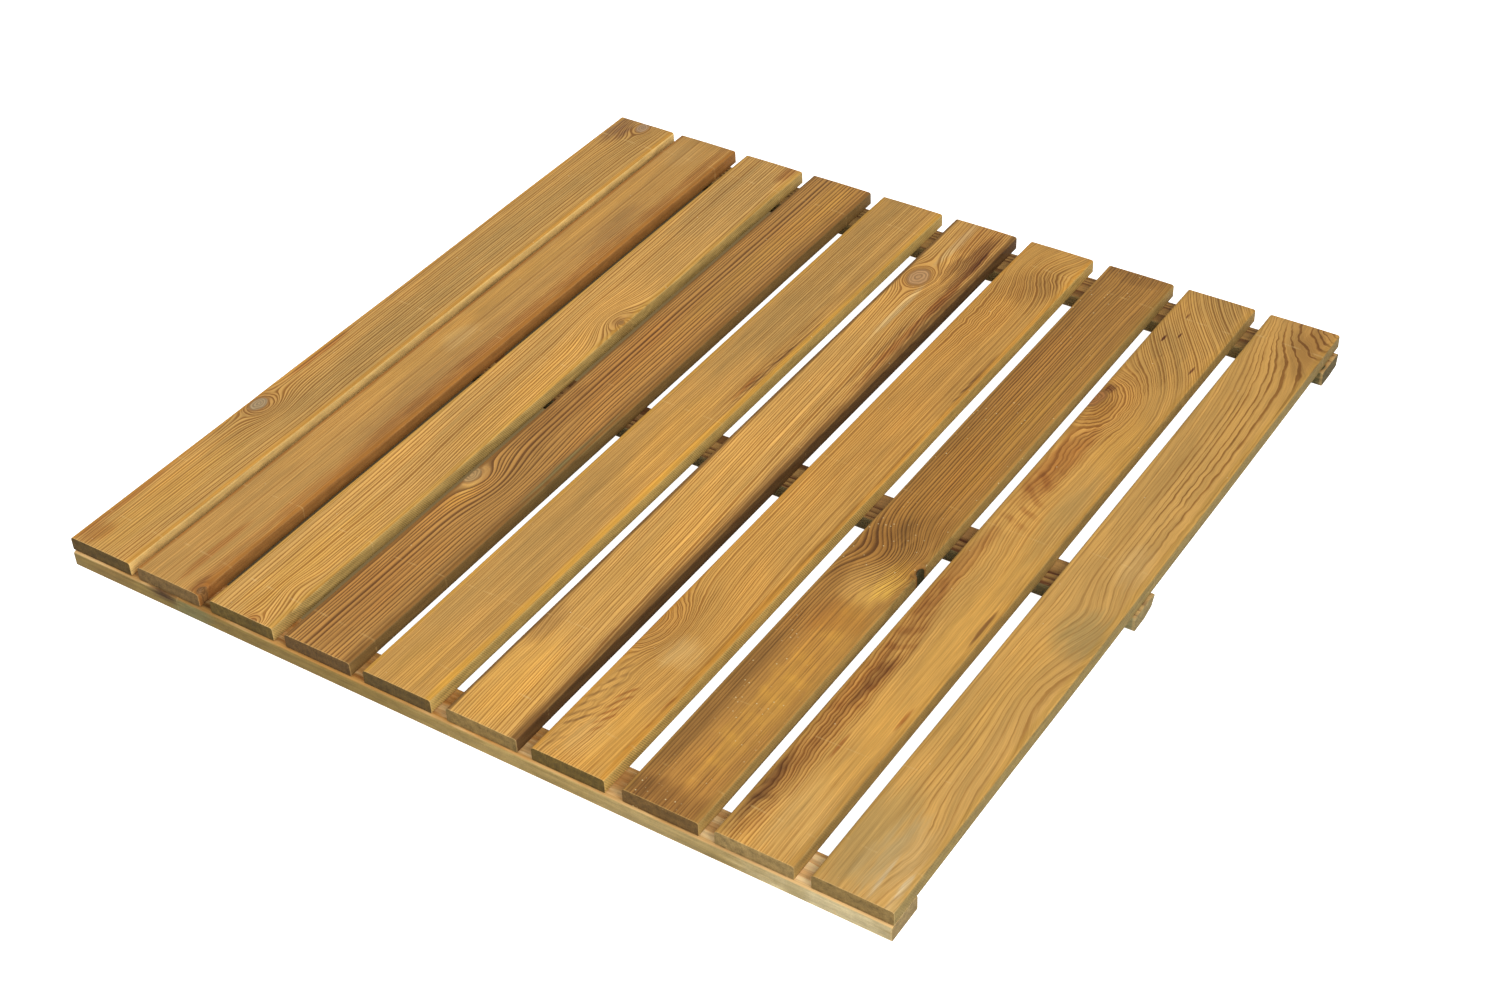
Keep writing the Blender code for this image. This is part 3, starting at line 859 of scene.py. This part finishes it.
# %% Mark group
# each stick's place along the board, its slope and how wide its bar is, in shares of 1.6 mm
STICKS = ((-0.452, 0.05, 1.1), (-0.344, -0.03, 0.7), (0.448, 0.04, 1.3), (0.012, 0.02, 0.9))
STICK_EDGE = 1.6 * MM
STICK_CORE = 0.3 * MM
STICK_STRAY = 6.0 * MM

group, given, result = new_group(
    "marks", {"Seed": 0.0, "Specks": 0.15, "Pockets": 0.0}, ("Bar", "Speck", "Pocket")
)
marks_group = group
place = apart(group, given["Vector"])
broken = stretched_noise(group, given["Vector"], (70.0, 30.0, 70.0), 3.0, 0.6, given["Seed"])
stray = calc(group, "SINE", times(group, given["Seed"], 9.0))
bars = 0.0
for y, slope, share in STICKS:
    line = summed(group, calc(group, "SUBTRACT", place[1], y), (place[0], slope), (stray, STICK_STRAY))
    bar = ramp_between(group, calc(group, "ABSOLUTE", line), share * STICK_EDGE, share * STICK_CORE)
    bars = calc(group, "MAXIMUM", bars, bar)
feed(group, result["Bar"], times(group, bars, ramp_between(group, broken, -0.05, 0.16)))


def scattered(tree, vector, scale, outer, inner, channel, chance):
    """Small spots, one in each cell of a Voronoi pattern, kept only where its luck allows."""
    cells = add(tree, "ShaderNodeTexVoronoi", {"Vector": vector, "Scale": scale}).outputs
    luck = add(tree, "ShaderNodeSeparateColor", {0: cells["Color"]}).outputs[channel]
    kept = calc(tree, "LESS_THAN", luck, chance)
    return times(tree, ramp_between(tree, cells["Distance"], outer, inner), kept)


dots = scattered(group, given["Vector"], 150.0, 0.15, 0.07, 0, times(group, given["Specks"], 0.30))
clouds = stretched_noise(group, given["Vector"], (26.0, 7.0, 26.0), 2.0, 0.5, 4.0)
patchy = ramp_between(group, clouds, -0.06, 0.1)
feed(group, result["Speck"], times(group, dots, patchy))
thin = add(group, "ShaderNodeVectorMath", {0: given["Vector"], 1: (95.0, 22.0, 95.0)}, operation="MULTIPLY")
slits = scattered(group, thin.outputs[0], 1.0, 0.20, 0.09, 1, times(group, given["Pockets"], 0.11))
feed(group, result["Pocket"], times(group, slits, ramp_between(group, place[1], 0.22, 0.32)))
print("group marks:", len(group.nodes), "nodes")

# %% [markdown]
# ## The timber material
#
# The material puts the groups together in the order in which things happened to the
# wood: it grew in rings round its knots, the heart darkened, it was sawn and planed,
# treated, stacked and handled. The rings also feed the bump and the roughness, because
# hard late wood stands a little proud after planing and shines more.
#
# A stain isn't painted over the wood. The wood is multiplied by what the stain does to
# bare early wood, so that the lines stay visible through it, as they do when it soaks in.


# %% Colour helpers
def rgba(colour):
    return (*colour, 1.0)


def in_metres(entry, *labels):
    """The values of a card's entry, from millimetres to metres, by a group's input names."""
    return {label: entry[label.lower()] * MM for label in labels}


def vector_product(tree, vector, factors):
    return add(tree, "ShaderNodeVectorMath", {0: vector, 1: factors}, operation="MULTIPLY").outputs[0]


def soaked_in(tree, colour, stain_colour, bare):
    """The colour as it is where bare wood takes the stain's colour: its lines stay visible."""
    return vector_product(tree, colour, [wet / dry for wet, dry in zip(stain_colour, bare)])


def laid_on(tree, colour, mask, amount, over):
    """The colour with another one over it, as much as a mask times an amount."""
    return blend(tree, times(tree, mask, amount), colour, over)


def oval_mask(tree, spot, patch):
    """Where a card's stain or accent lies, from nothing to one."""
    inputs = {"Vector": spot, **in_metres(patch, "X", "Y", "Wide", "Long")}
    return use_group(tree, stain_group, inputs)["Mask"]


# %% How a board grew
def carried_grain(tree, spot, card):
    """The place where the rings are read, carried by knots and swells, and each knot's own values."""
    shift = 0.0
    branches = []
    for branch in card["knots"]:
        inputs = {"Vector": spot, **in_metres(branch, "X", "Y", "Size", "Reach")}
        found = use_group(tree, knot_group, inputs)
        shift = calc(tree, "ADD", shift, found["Shift"])
        branches.append((branch, found))
    for bulge in card["swells"]:
        inputs = {"Vector": spot, **in_metres(bulge, "X", "Y", "Wide", "Long", "Push", "Ruffle")}
        shift = calc(tree, "ADD", shift, use_group(tree, swell_group, inputs)["Shift"])
    sideways = add(tree, "ShaderNodeCombineXYZ", {0: shift}).outputs[0]
    grown = add(tree, "ShaderNodeVectorMath", {0: spot, 1: sideways}, operation="ADD").outputs[0]
    return grown, branches


def ring_sizes(card):
    """The growth ring group's values from a card."""
    labels = ("Pith X", "Pith Z", "Lean X", "Lean Z", "Ring Width", "Wander")
    values = (*card["pith"], *card["lean"], card["ring"], card["wander"])
    sizes = {label: value * MM for label, value in zip(labels, values)}
    return {**sizes, "Late Start": card["late_start"]}


def bare_wood(tree, spot, card, rings, fibre):
    """Pale early wood with dark late wood, no two years or clouds alike; also how much of it is late."""
    early, late = card["wood"]
    year_change = (rings["Year Tone"], 0.55 * card["bold"])
    strength = summed(tree, card["bold"], year_change, (fibre["Cloud"], 0.9 * card["bold"]))
    for place in card["accents"]:
        strength = summed(tree, strength, (oval_mask(tree, spot, place), place["amount"]))
    strength = calc(tree, "MAXIMUM", strength, 0.05)
    late_amount = calc(tree, "MULTIPLY", rings["Late"], strength, clamp=True)
    colour = blend(tree, late_amount, rgba(early), rgba(late))
    ashen = ramp_between(tree, fibre["Cloud"], -0.14, 0.16, 0.22, 0.0)
    return blend(tree, ashen, colour, soaked_in(tree, colour, ASH, early)), late_amount


# %% What was done to it
def stained(tree, colour, spot, card):
    """The colour with a card's stains and curls soaked in."""
    masks = [(patch, oval_mask(tree, spot, patch)) for patch in card["stains"]]
    for row in card["curls"]:
        sizes = in_metres(row, "X", "Y", "Wide", "Long", "Period")
        inputs = {"Vector": spot, "Tilt": row["tilt"], **sizes}
        masks.append((row, use_group(tree, curl_group, inputs)["Mask"]))
    for patch, mask in masks:
        soaked = soaked_in(tree, colour, patch["colour"], card["wood"][0])
        colour = laid_on(tree, colour, mask, patch["amount"], soaked)
    return colour


def with_eyes(tree, colour, branches, bare):
    """The colour with each knot's ringed eye, its dark rim and the red wood round it."""
    for branch, found in branches:
        heart = branch["colour"]
        eye = blend(tree, found["Ring"], rgba(heart), rgba([0.62 * channel for channel in heart]))
        colour = laid_on(tree, colour, found["Pull"], 0.25, soaked_in(tree, colour, RED_BROWN, bare))
        colour = laid_on(tree, colour, found["Eye"], 0.92, eye)
        colour = laid_on(tree, colour, found["Rim"], 0.45 + 0.4 * branch["dark"], rgba(DARK_BROWN))
    return colour


STAIN_BORDER = 1.5
BORDER_WAVER = 8 * MM


def side_stained(tree, colour, spot, card, face, fibre):
    """The colour with stains on the narrow sides, or on all that lies above a height."""
    for patch in card["side_stains"]:
        where = face["Side"]
        if patch["above"] is not None:
            height = summed(tree, apart(tree, spot)[2], (fibre["Cloud"], BORDER_WAVER))
            low, high = (patch["above"] + step for step in (-STAIN_BORDER, STAIN_BORDER))
            where = ramp_between(tree, height, low * MM, high * MM)
        mask = times(tree, oval_mask(tree, spot, patch), where)
        colour = laid_on(tree, colour, mask, patch["amount"], rgba(patch["colour"]))
    return colour


# %% Timber material
SALT = (0.80, 0.68, 0.44, 1.0)


def timber(name, card, centre, length, width, lies_along):
    """A treated softwood for one board, from its card and its place."""
    material, tree, shader = new_material(name)
    seed = (sum(ord(letter) for letter in name) % 97) / 7.0
    bare = card["wood"][0]

    # the pattern's own X runs across the board and its Y along it
    coords = add(tree, "ShaderNodeTexCoord").outputs
    turn = (0.0, 0.0, 0.0)
    back = (-centre[0], -centre[1], -centre[2])
    if lies_along == 0:
        turn = (0.0, 0.0, math.pi / 2)
        back = (centre[1], -centre[0], -centre[2])
    inputs = {"Vector": coords["Object"], "Location": back, "Rotation": turn}
    spot = add(tree, "ShaderNodeMapping", inputs).outputs[0]
    inputs = {"Vector": coords["Normal"], "Rotation": turn}
    facing = add(tree, "ShaderNodeMapping", inputs, vector_type="VECTOR").outputs[0]

    grown, branches = carried_grain(tree, spot, card)
    rings = use_group(tree, rings_group, {"Vector": grown, "Seed": seed, **ring_sizes(card)})
    fibre = use_group(tree, fibre_group, {"Vector": grown, "Seed": seed})
    half_sizes = {"Half Width": width / 2, "Half Length": length / 2}
    face = use_group(tree, face_group, {"Vector": spot, "Normal": facing, **half_sizes})
    marked = {"Vector": spot, "Seed": seed, "Specks": card["specks"], "Pockets": card["pockets"]}
    marks = use_group(tree, marks_group, marked)

    # grown, stained, planed, sawn and treated
    colour, late_amount = bare_wood(tree, spot, card, rings, fibre)
    colour = stained(tree, colour, spot, card)
    colour = laid_on(tree, colour, face["Round"], card["round"], rgba(card["round_colour"]))
    colour = laid_on(tree, colour, face["Side"], card["side"], rgba(card["side_colour"]))
    colour = with_eyes(tree, colour, branches, bare)
    colour = side_stained(tree, colour, spot, card, face, fibre)
    colour = laid_on(tree, colour, face["End"], 0.92, rgba(card["end_colour"]))
    # pale line along the top at the sawn ends: partly edge wear, partly painted highlight
    colour = laid_on(tree, colour, face["Rim"], 0.35, rgba(PALE))

    # stacked and handled
    colour = laid_on(tree, colour, marks["Bar"], 0.32, rgba(PALE))
    colour = laid_on(tree, colour, marks["Speck"], 0.75, SALT)
    colour = laid_on(tree, colour, marks["Pocket"], 0.8, rgba(SCAR))
    brightness = summed(
        tree, 1.0, (fibre["Silk"], 0.72), (fibre["Streak"], 0.62), (rings["Year Tone"], 0.12),
        (fibre["Cloud"], 0.32), (face["Ripple"], 0.16 * card["hatch"]), (face["Fuzz"], 1.1),
    )
    lit = add(tree, "ShaderNodeVectorMath", {0: colour, 3: brightness}, operation="SCALE").outputs[0]
    feed(tree, shader.inputs["Base Color"], vector_product(tree, lit, card["tint"]))

    rough = summed(tree, 0.60, (late_amount, -0.12), (fibre["Streak"], 0.22), (face["End"], 0.25))
    rough = calc(tree, "MULTIPLY_ADD", face["Side"], 0.12, rough, clamp=True)
    feed(tree, shader.inputs["Roughness"], rough)
    relief = summed(
        tree, 0.0, (fibre["Silk"], 0.5), (late_amount, 0.5), (face["Ripple"], 0.35), (face["Fuzz"], 1.6)
    )
    bump = add(tree, "ShaderNodeBump", {"Strength": 0.5, "Distance": 0.18 * MM, "Height": relief})
    feed(tree, shader.inputs["Normal"], bump.outputs[0])
    shader.inputs["Specular IOR Level"].default_value = 0.22
    return material


# %% [markdown]
# ## The slats
#
# Every slat is cut from its blank, bent a little and given its dips, then takes its
# own timber. The underside keeps flat where it lies on the battens: only the top and
# the sides may move. The screws come up into it from below, so it gets its three blind
# holes as the CAD slat has them.

# %% Settling a board
CUP = 0.35 * MM
BOW = 0.30 * MM
WANDER = 0.35 * MM
RIPPLE = 0.12 * MM
DIP_LENGTH = 1.3
DIP_AT = 1.15


def knot_rise(branch, spot):
    """How far a knot lifts the top at a spot: its eye stands up, with a dip all round."""
    along = (spot.y - branch["y"] * MM) / DIP_LENGTH
    away = math.hypot(spot.x - branch["x"] * MM, along) / (branch["size"] * MM)
    eye = 0.7 * math.exp(-away * away * 1.6)
    return branch["bump"] * MM * (eye - math.exp(-((away - DIP_AT) ** 2) * 5.0))


def settle(shape, low, high, seed, card):
    """Bow, cup and wander a straight slat by fractions of a millimetre, and dip it at knots."""
    middle = (low + high) / 2
    half = (high - low) / 2
    for vert in shape.verts:
        spot = vert.co - middle
        across = spot.x / half.x
        raised = max(0.0, spot.z / half.z)
        run = vert.co.y
        vert.co.x += WANDER * noise.noise(Vector((run * 5.0, seed, across))) * 1.6
        vert.co.x += card["spring"] * MM * (1.0 - (spot.y / half.y) ** 2)
        rise = BOW * noise.noise(Vector((run * 3.0, seed + 7.0, 0.0))) * 1.5 - CUP * (across * across - 0.4)
        rise += RIPPLE * noise.noise(Vector((run * 24.0, spot.x * 60.0, seed)))
        for branch in card["knots"]:
            rise += knot_rise(branch, spot)
        vert.co.z += rise * raised


# %% Turning and drilling
def turned(profile, place, steps):
    """A profile of (radius, height) spun once round the upright line through a place."""
    shape = bmesh.new()
    corners = [shape.verts.new((place.x + radius, place.y, height)) for radius, height in profile]
    edges = [shape.edges.new(pair) for pair in zip(corners, corners[1:])]
    bmesh.ops.spin(
        shape, geom=corners + edges, cent=(place.x, place.y, 0), axis=(0, 0, 1),
        angle=2 * math.pi, steps=steps, use_merge=True,
    )
    bmesh.ops.remove_doubles(shape, verts=shape.verts, dist=1e-7)
    bmesh.ops.recalc_face_normals(shape, faces=shape.faces)
    return shape


def drilled(shape, cutters, operation="DIFFERENCE"):
    """A shape with every cutter taken away, or added, joined into one cutter mesh first."""
    tools = bmesh.new()
    for cutter in cutters:
        mesh = bpy.data.meshes.new("cutter")
        cutter.to_mesh(mesh)
        cutter.free()
        tools.from_mesh(mesh)
        bpy.data.meshes.remove(mesh)
    board = mesh_object("board", shape)
    tool = mesh_object("tool", tools)
    cut = board.modifiers.new("holes", "BOOLEAN")
    cut.operation = operation
    cut.solver = "EXACT"
    cut.object = tool
    graph = bpy.context.evaluated_depsgraph_get()
    finished = bmesh.new()
    finished.from_mesh(board.evaluated_get(graph).to_mesh())
    for item in (board, tool):
        mesh = item.data
        bpy.data.objects.remove(item)
        bpy.data.meshes.remove(mesh)
    return finished


# %% Where the screws go
ROWS = ("near", "middle", "far")


def screw_places(row):
    """The centre lines of the ten screws that pass through one batten, from their CAD nodes."""
    places = []
    for name in sorted(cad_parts):
        if name.startswith(f"screw_{row}_"):
            low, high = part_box(name)
            places.append((low + high) / 2)
    return places


SCREWS = {row: screw_places(row) for row in ROWS}
print("screws in each row:", [len(SCREWS[row]) for row in ROWS])

# %% Slats
EDGE_RADII = (3.6 * MM, 2.8 * MM, 1.2 * MM)
SCREW_RADIUS = 2.0 * MM
SCREW_TIP = 5.0 * MM
HOLE_GAP = 0.3 * MM
HOLE_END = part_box("screw_near_01")[1].z + 2 * HOLE_GAP


def blind_hole(place, low_z):
    """A closed spun cutter: a pilot hole from below a board up to a point inside it."""
    radius = SCREW_RADIUS + HOLE_GAP
    profile = [(0.0, low_z), (radius, low_z), (radius, HOLE_END - SCREW_TIP), (0.0, HOLE_END)]
    return turned(profile, place, 16)


def make_slat(name, card):
    number = int(name[-2:])
    low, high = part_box(name)
    centre = (low + high) / 2
    shape = board_blank(low, high, 1, EDGE_RADII)
    spots = [(centre.y + branch["y"] * MM, branch["size"] * MM * 2.0) for branch in card["knots"]]
    slice_at(shape, 1, bays(low.y, high.y, BAY, spots))
    spots = [(centre.x + branch["x"] * MM, branch["size"] * MM * 1.6) for branch in card["knots"]]
    slice_at(shape, 0, bays(low.x + EDGE_RADII[0], high.x - EDGE_RADII[1], CROSS_BAY, spots))
    settle(shape, low, high, number * 3.7, card)
    shape = drilled(shape, [blind_hole(SCREWS[row][number - 1], low.z - MM) for row in ROWS])
    bmesh.ops.recalc_face_normals(shape, faces=shape.faces)
    wood = timber(f"{name}_timber", card, centre, high.y - low.y, high.x - low.x, 1)
    item = mesh_object(name.replace("slat", "planed_slat"), shape, wood)
    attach(item, "root")
    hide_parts(name)
    return item


slats = [make_slat(name, {**UNSAID, **card}) for name, card in SLAT_CARDS.items()]
print("slats:", len(slats), "with", sum(len(item.data.polygons) for item in slats), "faces")

# %% [markdown]
# ## The battens
#
# The three battens are the same timber turned a quarter, so their grain runs across
# under the slats and shows as short stripes in the gaps. They come from rougher stock:
# greener preservative, and a corner here and there where the log's own round side was
# left on. Nobody trimmed them to length either: two stand a few millimetres past the
# last slat, and one stops short under the first. Their tops stay flat, because the
# slats lie on them.
#
# The countersunk holes are cut with one spun shape of the screw's own outline. A
# Boolean is the right tool for that, and its result is kept as plain mesh.

# %% Cards for the battens
# the near batten's cream wood is partly its own pale colour and partly painted light: it is lightened so
# that its top between the slats, in their shade, shows as pale as its lit front
CREAM_WITH_PAINTED_LIGHT = ((1.000, 0.740, 0.380), (0.800, 0.490, 0.200))
STRIPED = ((0.480, 0.270, 0.085), (0.150, 0.055, 0.020))
OLIVE = (0.29, 0.215, 0.075)
BARK = (0.045, 0.014, 0.008)

BATTEN_CARDS = {
    "near": dict(
        wood=CREAM_WITH_PAINTED_LIGHT, pith=(-40, -150), lean=(6, 5), ring=3.2, bold=0.75, wander=1.4,
        swells=[swell(10, -365, 16, 30, -5)],
        accents=[accent(0, 330, 30, 160, 0.5)],
        stains=[
            stain(-6, -220, 26, 420, (0.62, 0.30, 0.070), 0.9), stain(18, -330, 12, 90, OLIVE, 0.7),
            stain(0, 130, 26, 150, (0.66, 0.36, 0.095), 0.5),
            stain(20, -200, 9, 330, (0.40, 0.18, 0.030), 0.85),
        ],
        # on the near batten the round colour is partly painted shade: it keeps the lit front strip darker
        # than the lightened cream
        side=0.96, side_colour=(0.262, 0.176, 0.046), round=0.55, round_colour=(0.52, 0.26, 0.055),
        side_stains=[
            stain(22, 130, 30, 160, (0.45, 0.315, 0.110), 0.95),
            stain(22, 300, 30, 110, (0.46, 0.335, 0.130), 0.85),
            stain(22, 440, 30, 90, (0.66, 0.55, 0.31), 0.9),
            stain(22, -328, 20, 24, (0.22, 0.20, 0.080), 0.8),
            stain(26, -373, 14, 22, BARK, 1.0, above=0.0),
            stain(22, -440, 20, 30, (0.25, 0.150, 0.045), 0.6),
            stain(22, 400, 30, 12, (0.34, 0.25, 0.09), 0.5),
            stain(22, 250, 30, 60, (0.44, 0.32, 0.130), 0.8),
        ],
        end_colour=(0.24, 0.17, 0.07), short_left=2.5,
    ),
    "middle": dict(
        wood=STRIPED, pith=(-20, -60), lean=(8, -6), ring=4.2, bold=1.0, wander=2.6,
        knots=[knot(-2, -60, 6, 10, 0.6, 0.0, (0.20, 0.10, 0.04))],
        stains=[
            stain(0, -150, 26, 90, PLUM, 0.5), stain(0, 250, 26, 120, PLUM, 0.4),
            stain(0, 480, 40, 40, MOSS, 0.4),
        ],
        side=0.85, side_colour=(0.30, 0.255, 0.115), round=0.3, round_colour=(0.20, 0.09, 0.03),
        side_stains=[stain(22, 470, 20, 60, (0.30, 0.28, 0.13), 0.7)],
        end_colour=(0.27, 0.205, 0.085), past_right=4.5, wane=9.0,
    ),
    "far": dict(
        wood=STRIPED, pith=(24, -60), lean=(-5, 6), ring=3.8, bold=0.8, wander=2.2,
        knots=[knot(12, 494, 7, 10, 0.9, 0.0, (0.040, 0.045, 0.018))],
        stains=[stain(18, 450, 10, 50, MOSS, 0.8), stain(0, -200, 26, 160, OLIVE, 0.4)],
        side=0.8, side_colour=(0.36, 0.265, 0.100), round=0.3, round_colour=(0.30, 0.16, 0.05),
        side_stains=[stain(22, 492, 12, 16, (0.045, 0.055, 0.020), 0.9)],
        end_colour=(0.10, 0.082, 0.035), past_right=4.5, wane=4.0,
    ),
}

# %% Battens
BATTEN_RADII = (3.0 * MM, 3.0 * MM, 1.5 * MM)
WANE_LENGTH = 70 * MM
HEAD_RADIUS = 4.0 * MM
HEAD_RIM = 0.4 * MM
OPEN_BELOW = -2 * MM


def countersunk_hole(place, head_z):
    """A closed spun cutter of the screw's outline, grown by the gap and open below."""
    neck = head_z + HEAD_RIM + HEAD_RADIUS - SCREW_RADIUS
    head = HEAD_RADIUS + HOLE_GAP
    shank = SCREW_RADIUS + HOLE_GAP
    profile = [
        (0.0, OPEN_BELOW), (head, OPEN_BELOW), (head, head_z + HEAD_RIM + HOLE_GAP),
        (shank, neck + HOLE_GAP), (shank, HOLE_END), (0.0, HOLE_END),
    ]
    return turned(profile, place, 32)


def wane_at(spot, low, high, depth):
    """How much of a corner the log's own round side took: most at the right end, low and far."""
    centre = (low + high) / 2
    size = high - low
    near_end = min(1.0, max(0.0, 1.0 - (high.x - spot.x) / WANE_LENGTH))
    far_side = max(0.0, (spot.y - centre.y) / size.y * 2)
    low_side = max(0.0, (centre.z - spot.z) / size.z * 2)
    uneven = 1.0 + 0.5 * noise.noise(Vector((spot.x * 90.0, spot.z * 90.0, 3.0)))
    return depth * near_end ** 1.5 * far_side * low_side * uneven


def make_batten(row, card):
    name = f"batten_{row}"
    low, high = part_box(name)
    centre = (low + high) / 2
    low.x += card["short_left"] * MM
    high.x += card["past_right"] * MM
    shape = board_blank(low, high, 0, BATTEN_RADII)
    slice_at(shape, 0, bays(low.x, high.x, BAY))
    slice_at(shape, 1, bays(low.y + BATTEN_RADII[0], high.y - BATTEN_RADII[1], CROSS_BAY))
    for vert in shape.verts:
        vert.co.y += WANDER * noise.noise(Vector((vert.co.x * 6.0, len(row), 0.0)))
        wane = wane_at(vert.co, low, high, card["wane"] * MM)
        vert.co.y -= wane
        vert.co.z += 0.7 * wane
    head_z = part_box(f"screw_{row}_01")[0].z
    shape = drilled(shape, [countersunk_hole(place, head_z) for place in SCREWS[row]])
    bmesh.ops.recalc_face_normals(shape, faces=shape.faces)
    wood = timber(f"{name}_timber", card, centre, high.x - low.x, high.y - low.y, 0)
    item = mesh_object(f"cross_{name}", shape, wood)
    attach(item, "root")
    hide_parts(name)
    return item


battens = [make_batten(row, {**UNSAID, **card}) for row, card in BATTEN_CARDS.items()]
print("battens:", len(battens), "with", sum(len(item.data.polygons) for item in battens), "faces")

# %% [markdown]
# ## The screws
#
# A wood screw is turned first and threaded afterwards, and it is made in that order
# here. A profile is spun into the head and the shank. A small section is then spun
# many times round while it climbs, which is all a thread is. Both are drawn in to a
# point at the tip, and two tapered bars cut the cross in the head.

# %% Screw sizes
PITCH = 1.8 * MM
CORE_RADIUS = 1.35 * MM
WAIST_RADIUS = 0.86 * SCREW_RADIUS
THREAD_ROOT = 0.9 * CORE_RADIUS
THREAD_HALF = 0.28 * MM
THREAD_CREST = 0.04 * MM
THREAD_STEPS = 14
PLAIN_SHANK = 9.0 * MM
SHOULDER = 0.5 * MM
HEAD_CHAMFER = 0.15 * MM
DRIVE_LENGTH = 4.4 * MM
DRIVE_WIDTH = 1.0 * MM
DRIVE_DEPTH = 1.6 * MM
DRIVE_TAPER = 0.45


# %% Screws
def thread(place, low_z, high_z):
    """A closed ridge that climbs round an upright line, one pitch a turn."""
    turns = (high_z - low_z) / PITCH
    shape = bmesh.new()
    section = [
        (THREAD_ROOT, -THREAD_HALF), (SCREW_RADIUS, -THREAD_CREST),
        (SCREW_RADIUS, THREAD_CREST), (THREAD_ROOT, THREAD_HALF),
    ]
    corners = [shape.verts.new((place.x + radius, place.y, low_z + height)) for radius, height in section]
    start = shape.faces.new(corners)
    bmesh.ops.spin(
        shape, geom=[start, *start.verts, *start.edges], cent=(place.x, place.y, 0), axis=(0, 0, 1),
        dvec=(0, 0, PITCH / THREAD_STEPS), angle=2 * math.pi * turns,
        steps=round(turns * THREAD_STEPS), use_merge=False,
    )
    print("thread:", round(turns, 1), "turns,", len(shape.faces), "faces")
    bmesh.ops.recalc_face_normals(shape, faces=shape.faces)
    return shape


def drive_bar(place, head_z, axis):
    """A tapered bar across the head's flat; two of them cut the drive cross."""
    shape = bmesh.new()
    bmesh.ops.create_cube(shape, size=1.0)
    size = [DRIVE_WIDTH, DRIVE_WIDTH, 2 * DRIVE_DEPTH]
    size[axis] = DRIVE_LENGTH
    bmesh.ops.scale(shape, vec=size, verts=shape.verts)
    deep = [vert for vert in shape.verts if vert.co.z > 0]
    bmesh.ops.scale(shape, vec=(DRIVE_TAPER, DRIVE_TAPER, 1.0), verts=deep)
    bmesh.ops.translate(shape, vec=(place.x, place.y, head_z), verts=shape.verts)
    return shape


def screw_blank(low, high):
    """One whole screw as a bmesh: head, shank, thread and drive cross."""
    centre = (low + high) / 2
    neck = low.z + HEAD_RIM + HEAD_RADIUS - SCREW_RADIUS
    tip_from = high.z - SCREW_TIP
    thread_from = low.z + PLAIN_SHANK
    profile = [
        (0.0, low.z), (HEAD_RADIUS - HEAD_CHAMFER, low.z), (HEAD_RADIUS, low.z + HEAD_CHAMFER),
        (HEAD_RADIUS, low.z + HEAD_RIM), (SCREW_RADIUS, neck), (WAIST_RADIUS, neck + SHOULDER),
        (WAIST_RADIUS, thread_from), (CORE_RADIUS, thread_from + SHOULDER), (CORE_RADIUS, tip_from),
        (CORE_RADIUS * 0.5, (tip_from + high.z) / 2), (0.0, high.z),
    ]
    core = turned(profile, centre, 28)
    ridge = thread(centre, thread_from + 0.3 * MM, high.z - 1.2 * MM)
    for vert in ridge.verts:
        drawn_in = min(1.0, max(0.12, (high.z - vert.co.z) / SCREW_TIP))
        vert.co.x = centre.x + (vert.co.x - centre.x) * drawn_in
        vert.co.y = centre.y + (vert.co.y - centre.y) * drawn_in
    for axis in (0, 1):
        core = drilled(core, [drive_bar(centre, low.z, axis)])
    return drilled(core, [ridge], "UNION"), centre


# %% [markdown]
# ### Passivated zinc
#
# Outdoor screws are zinc plated and then dipped, which leaves a thin yellow film that
# shifts towards green and rose from place to place. Dust lies in small scattered patches
# and dulls the shine there.

# %% Screw finish
YELLOW_FILM = (0.62, 0.50, 0.25, 1.0)
GREEN_FILM = (0.55, 0.53, 0.36, 1.0)
DUST = (0.20, 0.15, 0.08, 1.0)

plated, tree, shader = new_material("yellow_zinc")
coords = add(tree, "ShaderNodeTexCoord").outputs["Object"]
film = add(tree, "ShaderNodeTexNoise", {"Vector": coords, "Scale": 420.0, "Detail": 3.0}).outputs[0]
tint = blend(tree, ramp_between(tree, film, 0.35, 0.65), YELLOW_FILM, GREEN_FILM)
dust = add(tree, "ShaderNodeTexNoise", {"Vector": coords, "Scale": 1500.0, "Detail": 4.0}).outputs[0]
tint = blend(tree, ramp_between(tree, dust, 0.56, 0.72, 0.0, 0.5), tint, DUST)
feed(tree, shader.inputs["Base Color"], tint)
feed(tree, shader.inputs["Roughness"], ramp_between(tree, dust, 0.3, 0.75, 0.24, 0.62))
scratch = add(tree, "ShaderNodeBump", {"Strength": 0.3, "Distance": 0.02 * MM, "Height": dust})
feed(tree, shader.inputs["Normal"], scratch.outputs[0])
shader.inputs["Metallic"].default_value = 1.0
print("screw finish:", len(tree.nodes), "nodes")

# %% A screw at every crossing
low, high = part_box("screw_near_01")
pattern, pattern_centre = screw_blank(low, high)
screws = []
for row in ROWS:
    for index, place in enumerate(SCREWS[row], start=1):
        name = f"screw_{row}_{index:02d}"
        shape = pattern.copy()
        bmesh.ops.translate(shape, vec=place - pattern_centre, verts=shape.verts)
        item = mesh_object(f"wood_{name}", shape, plated, 35)
        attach(item, "root")
        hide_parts(name)
        screws.append(item)
pattern.free()
print("screws:", len(screws), "with", len(screws[0].data.polygons), "faces each")
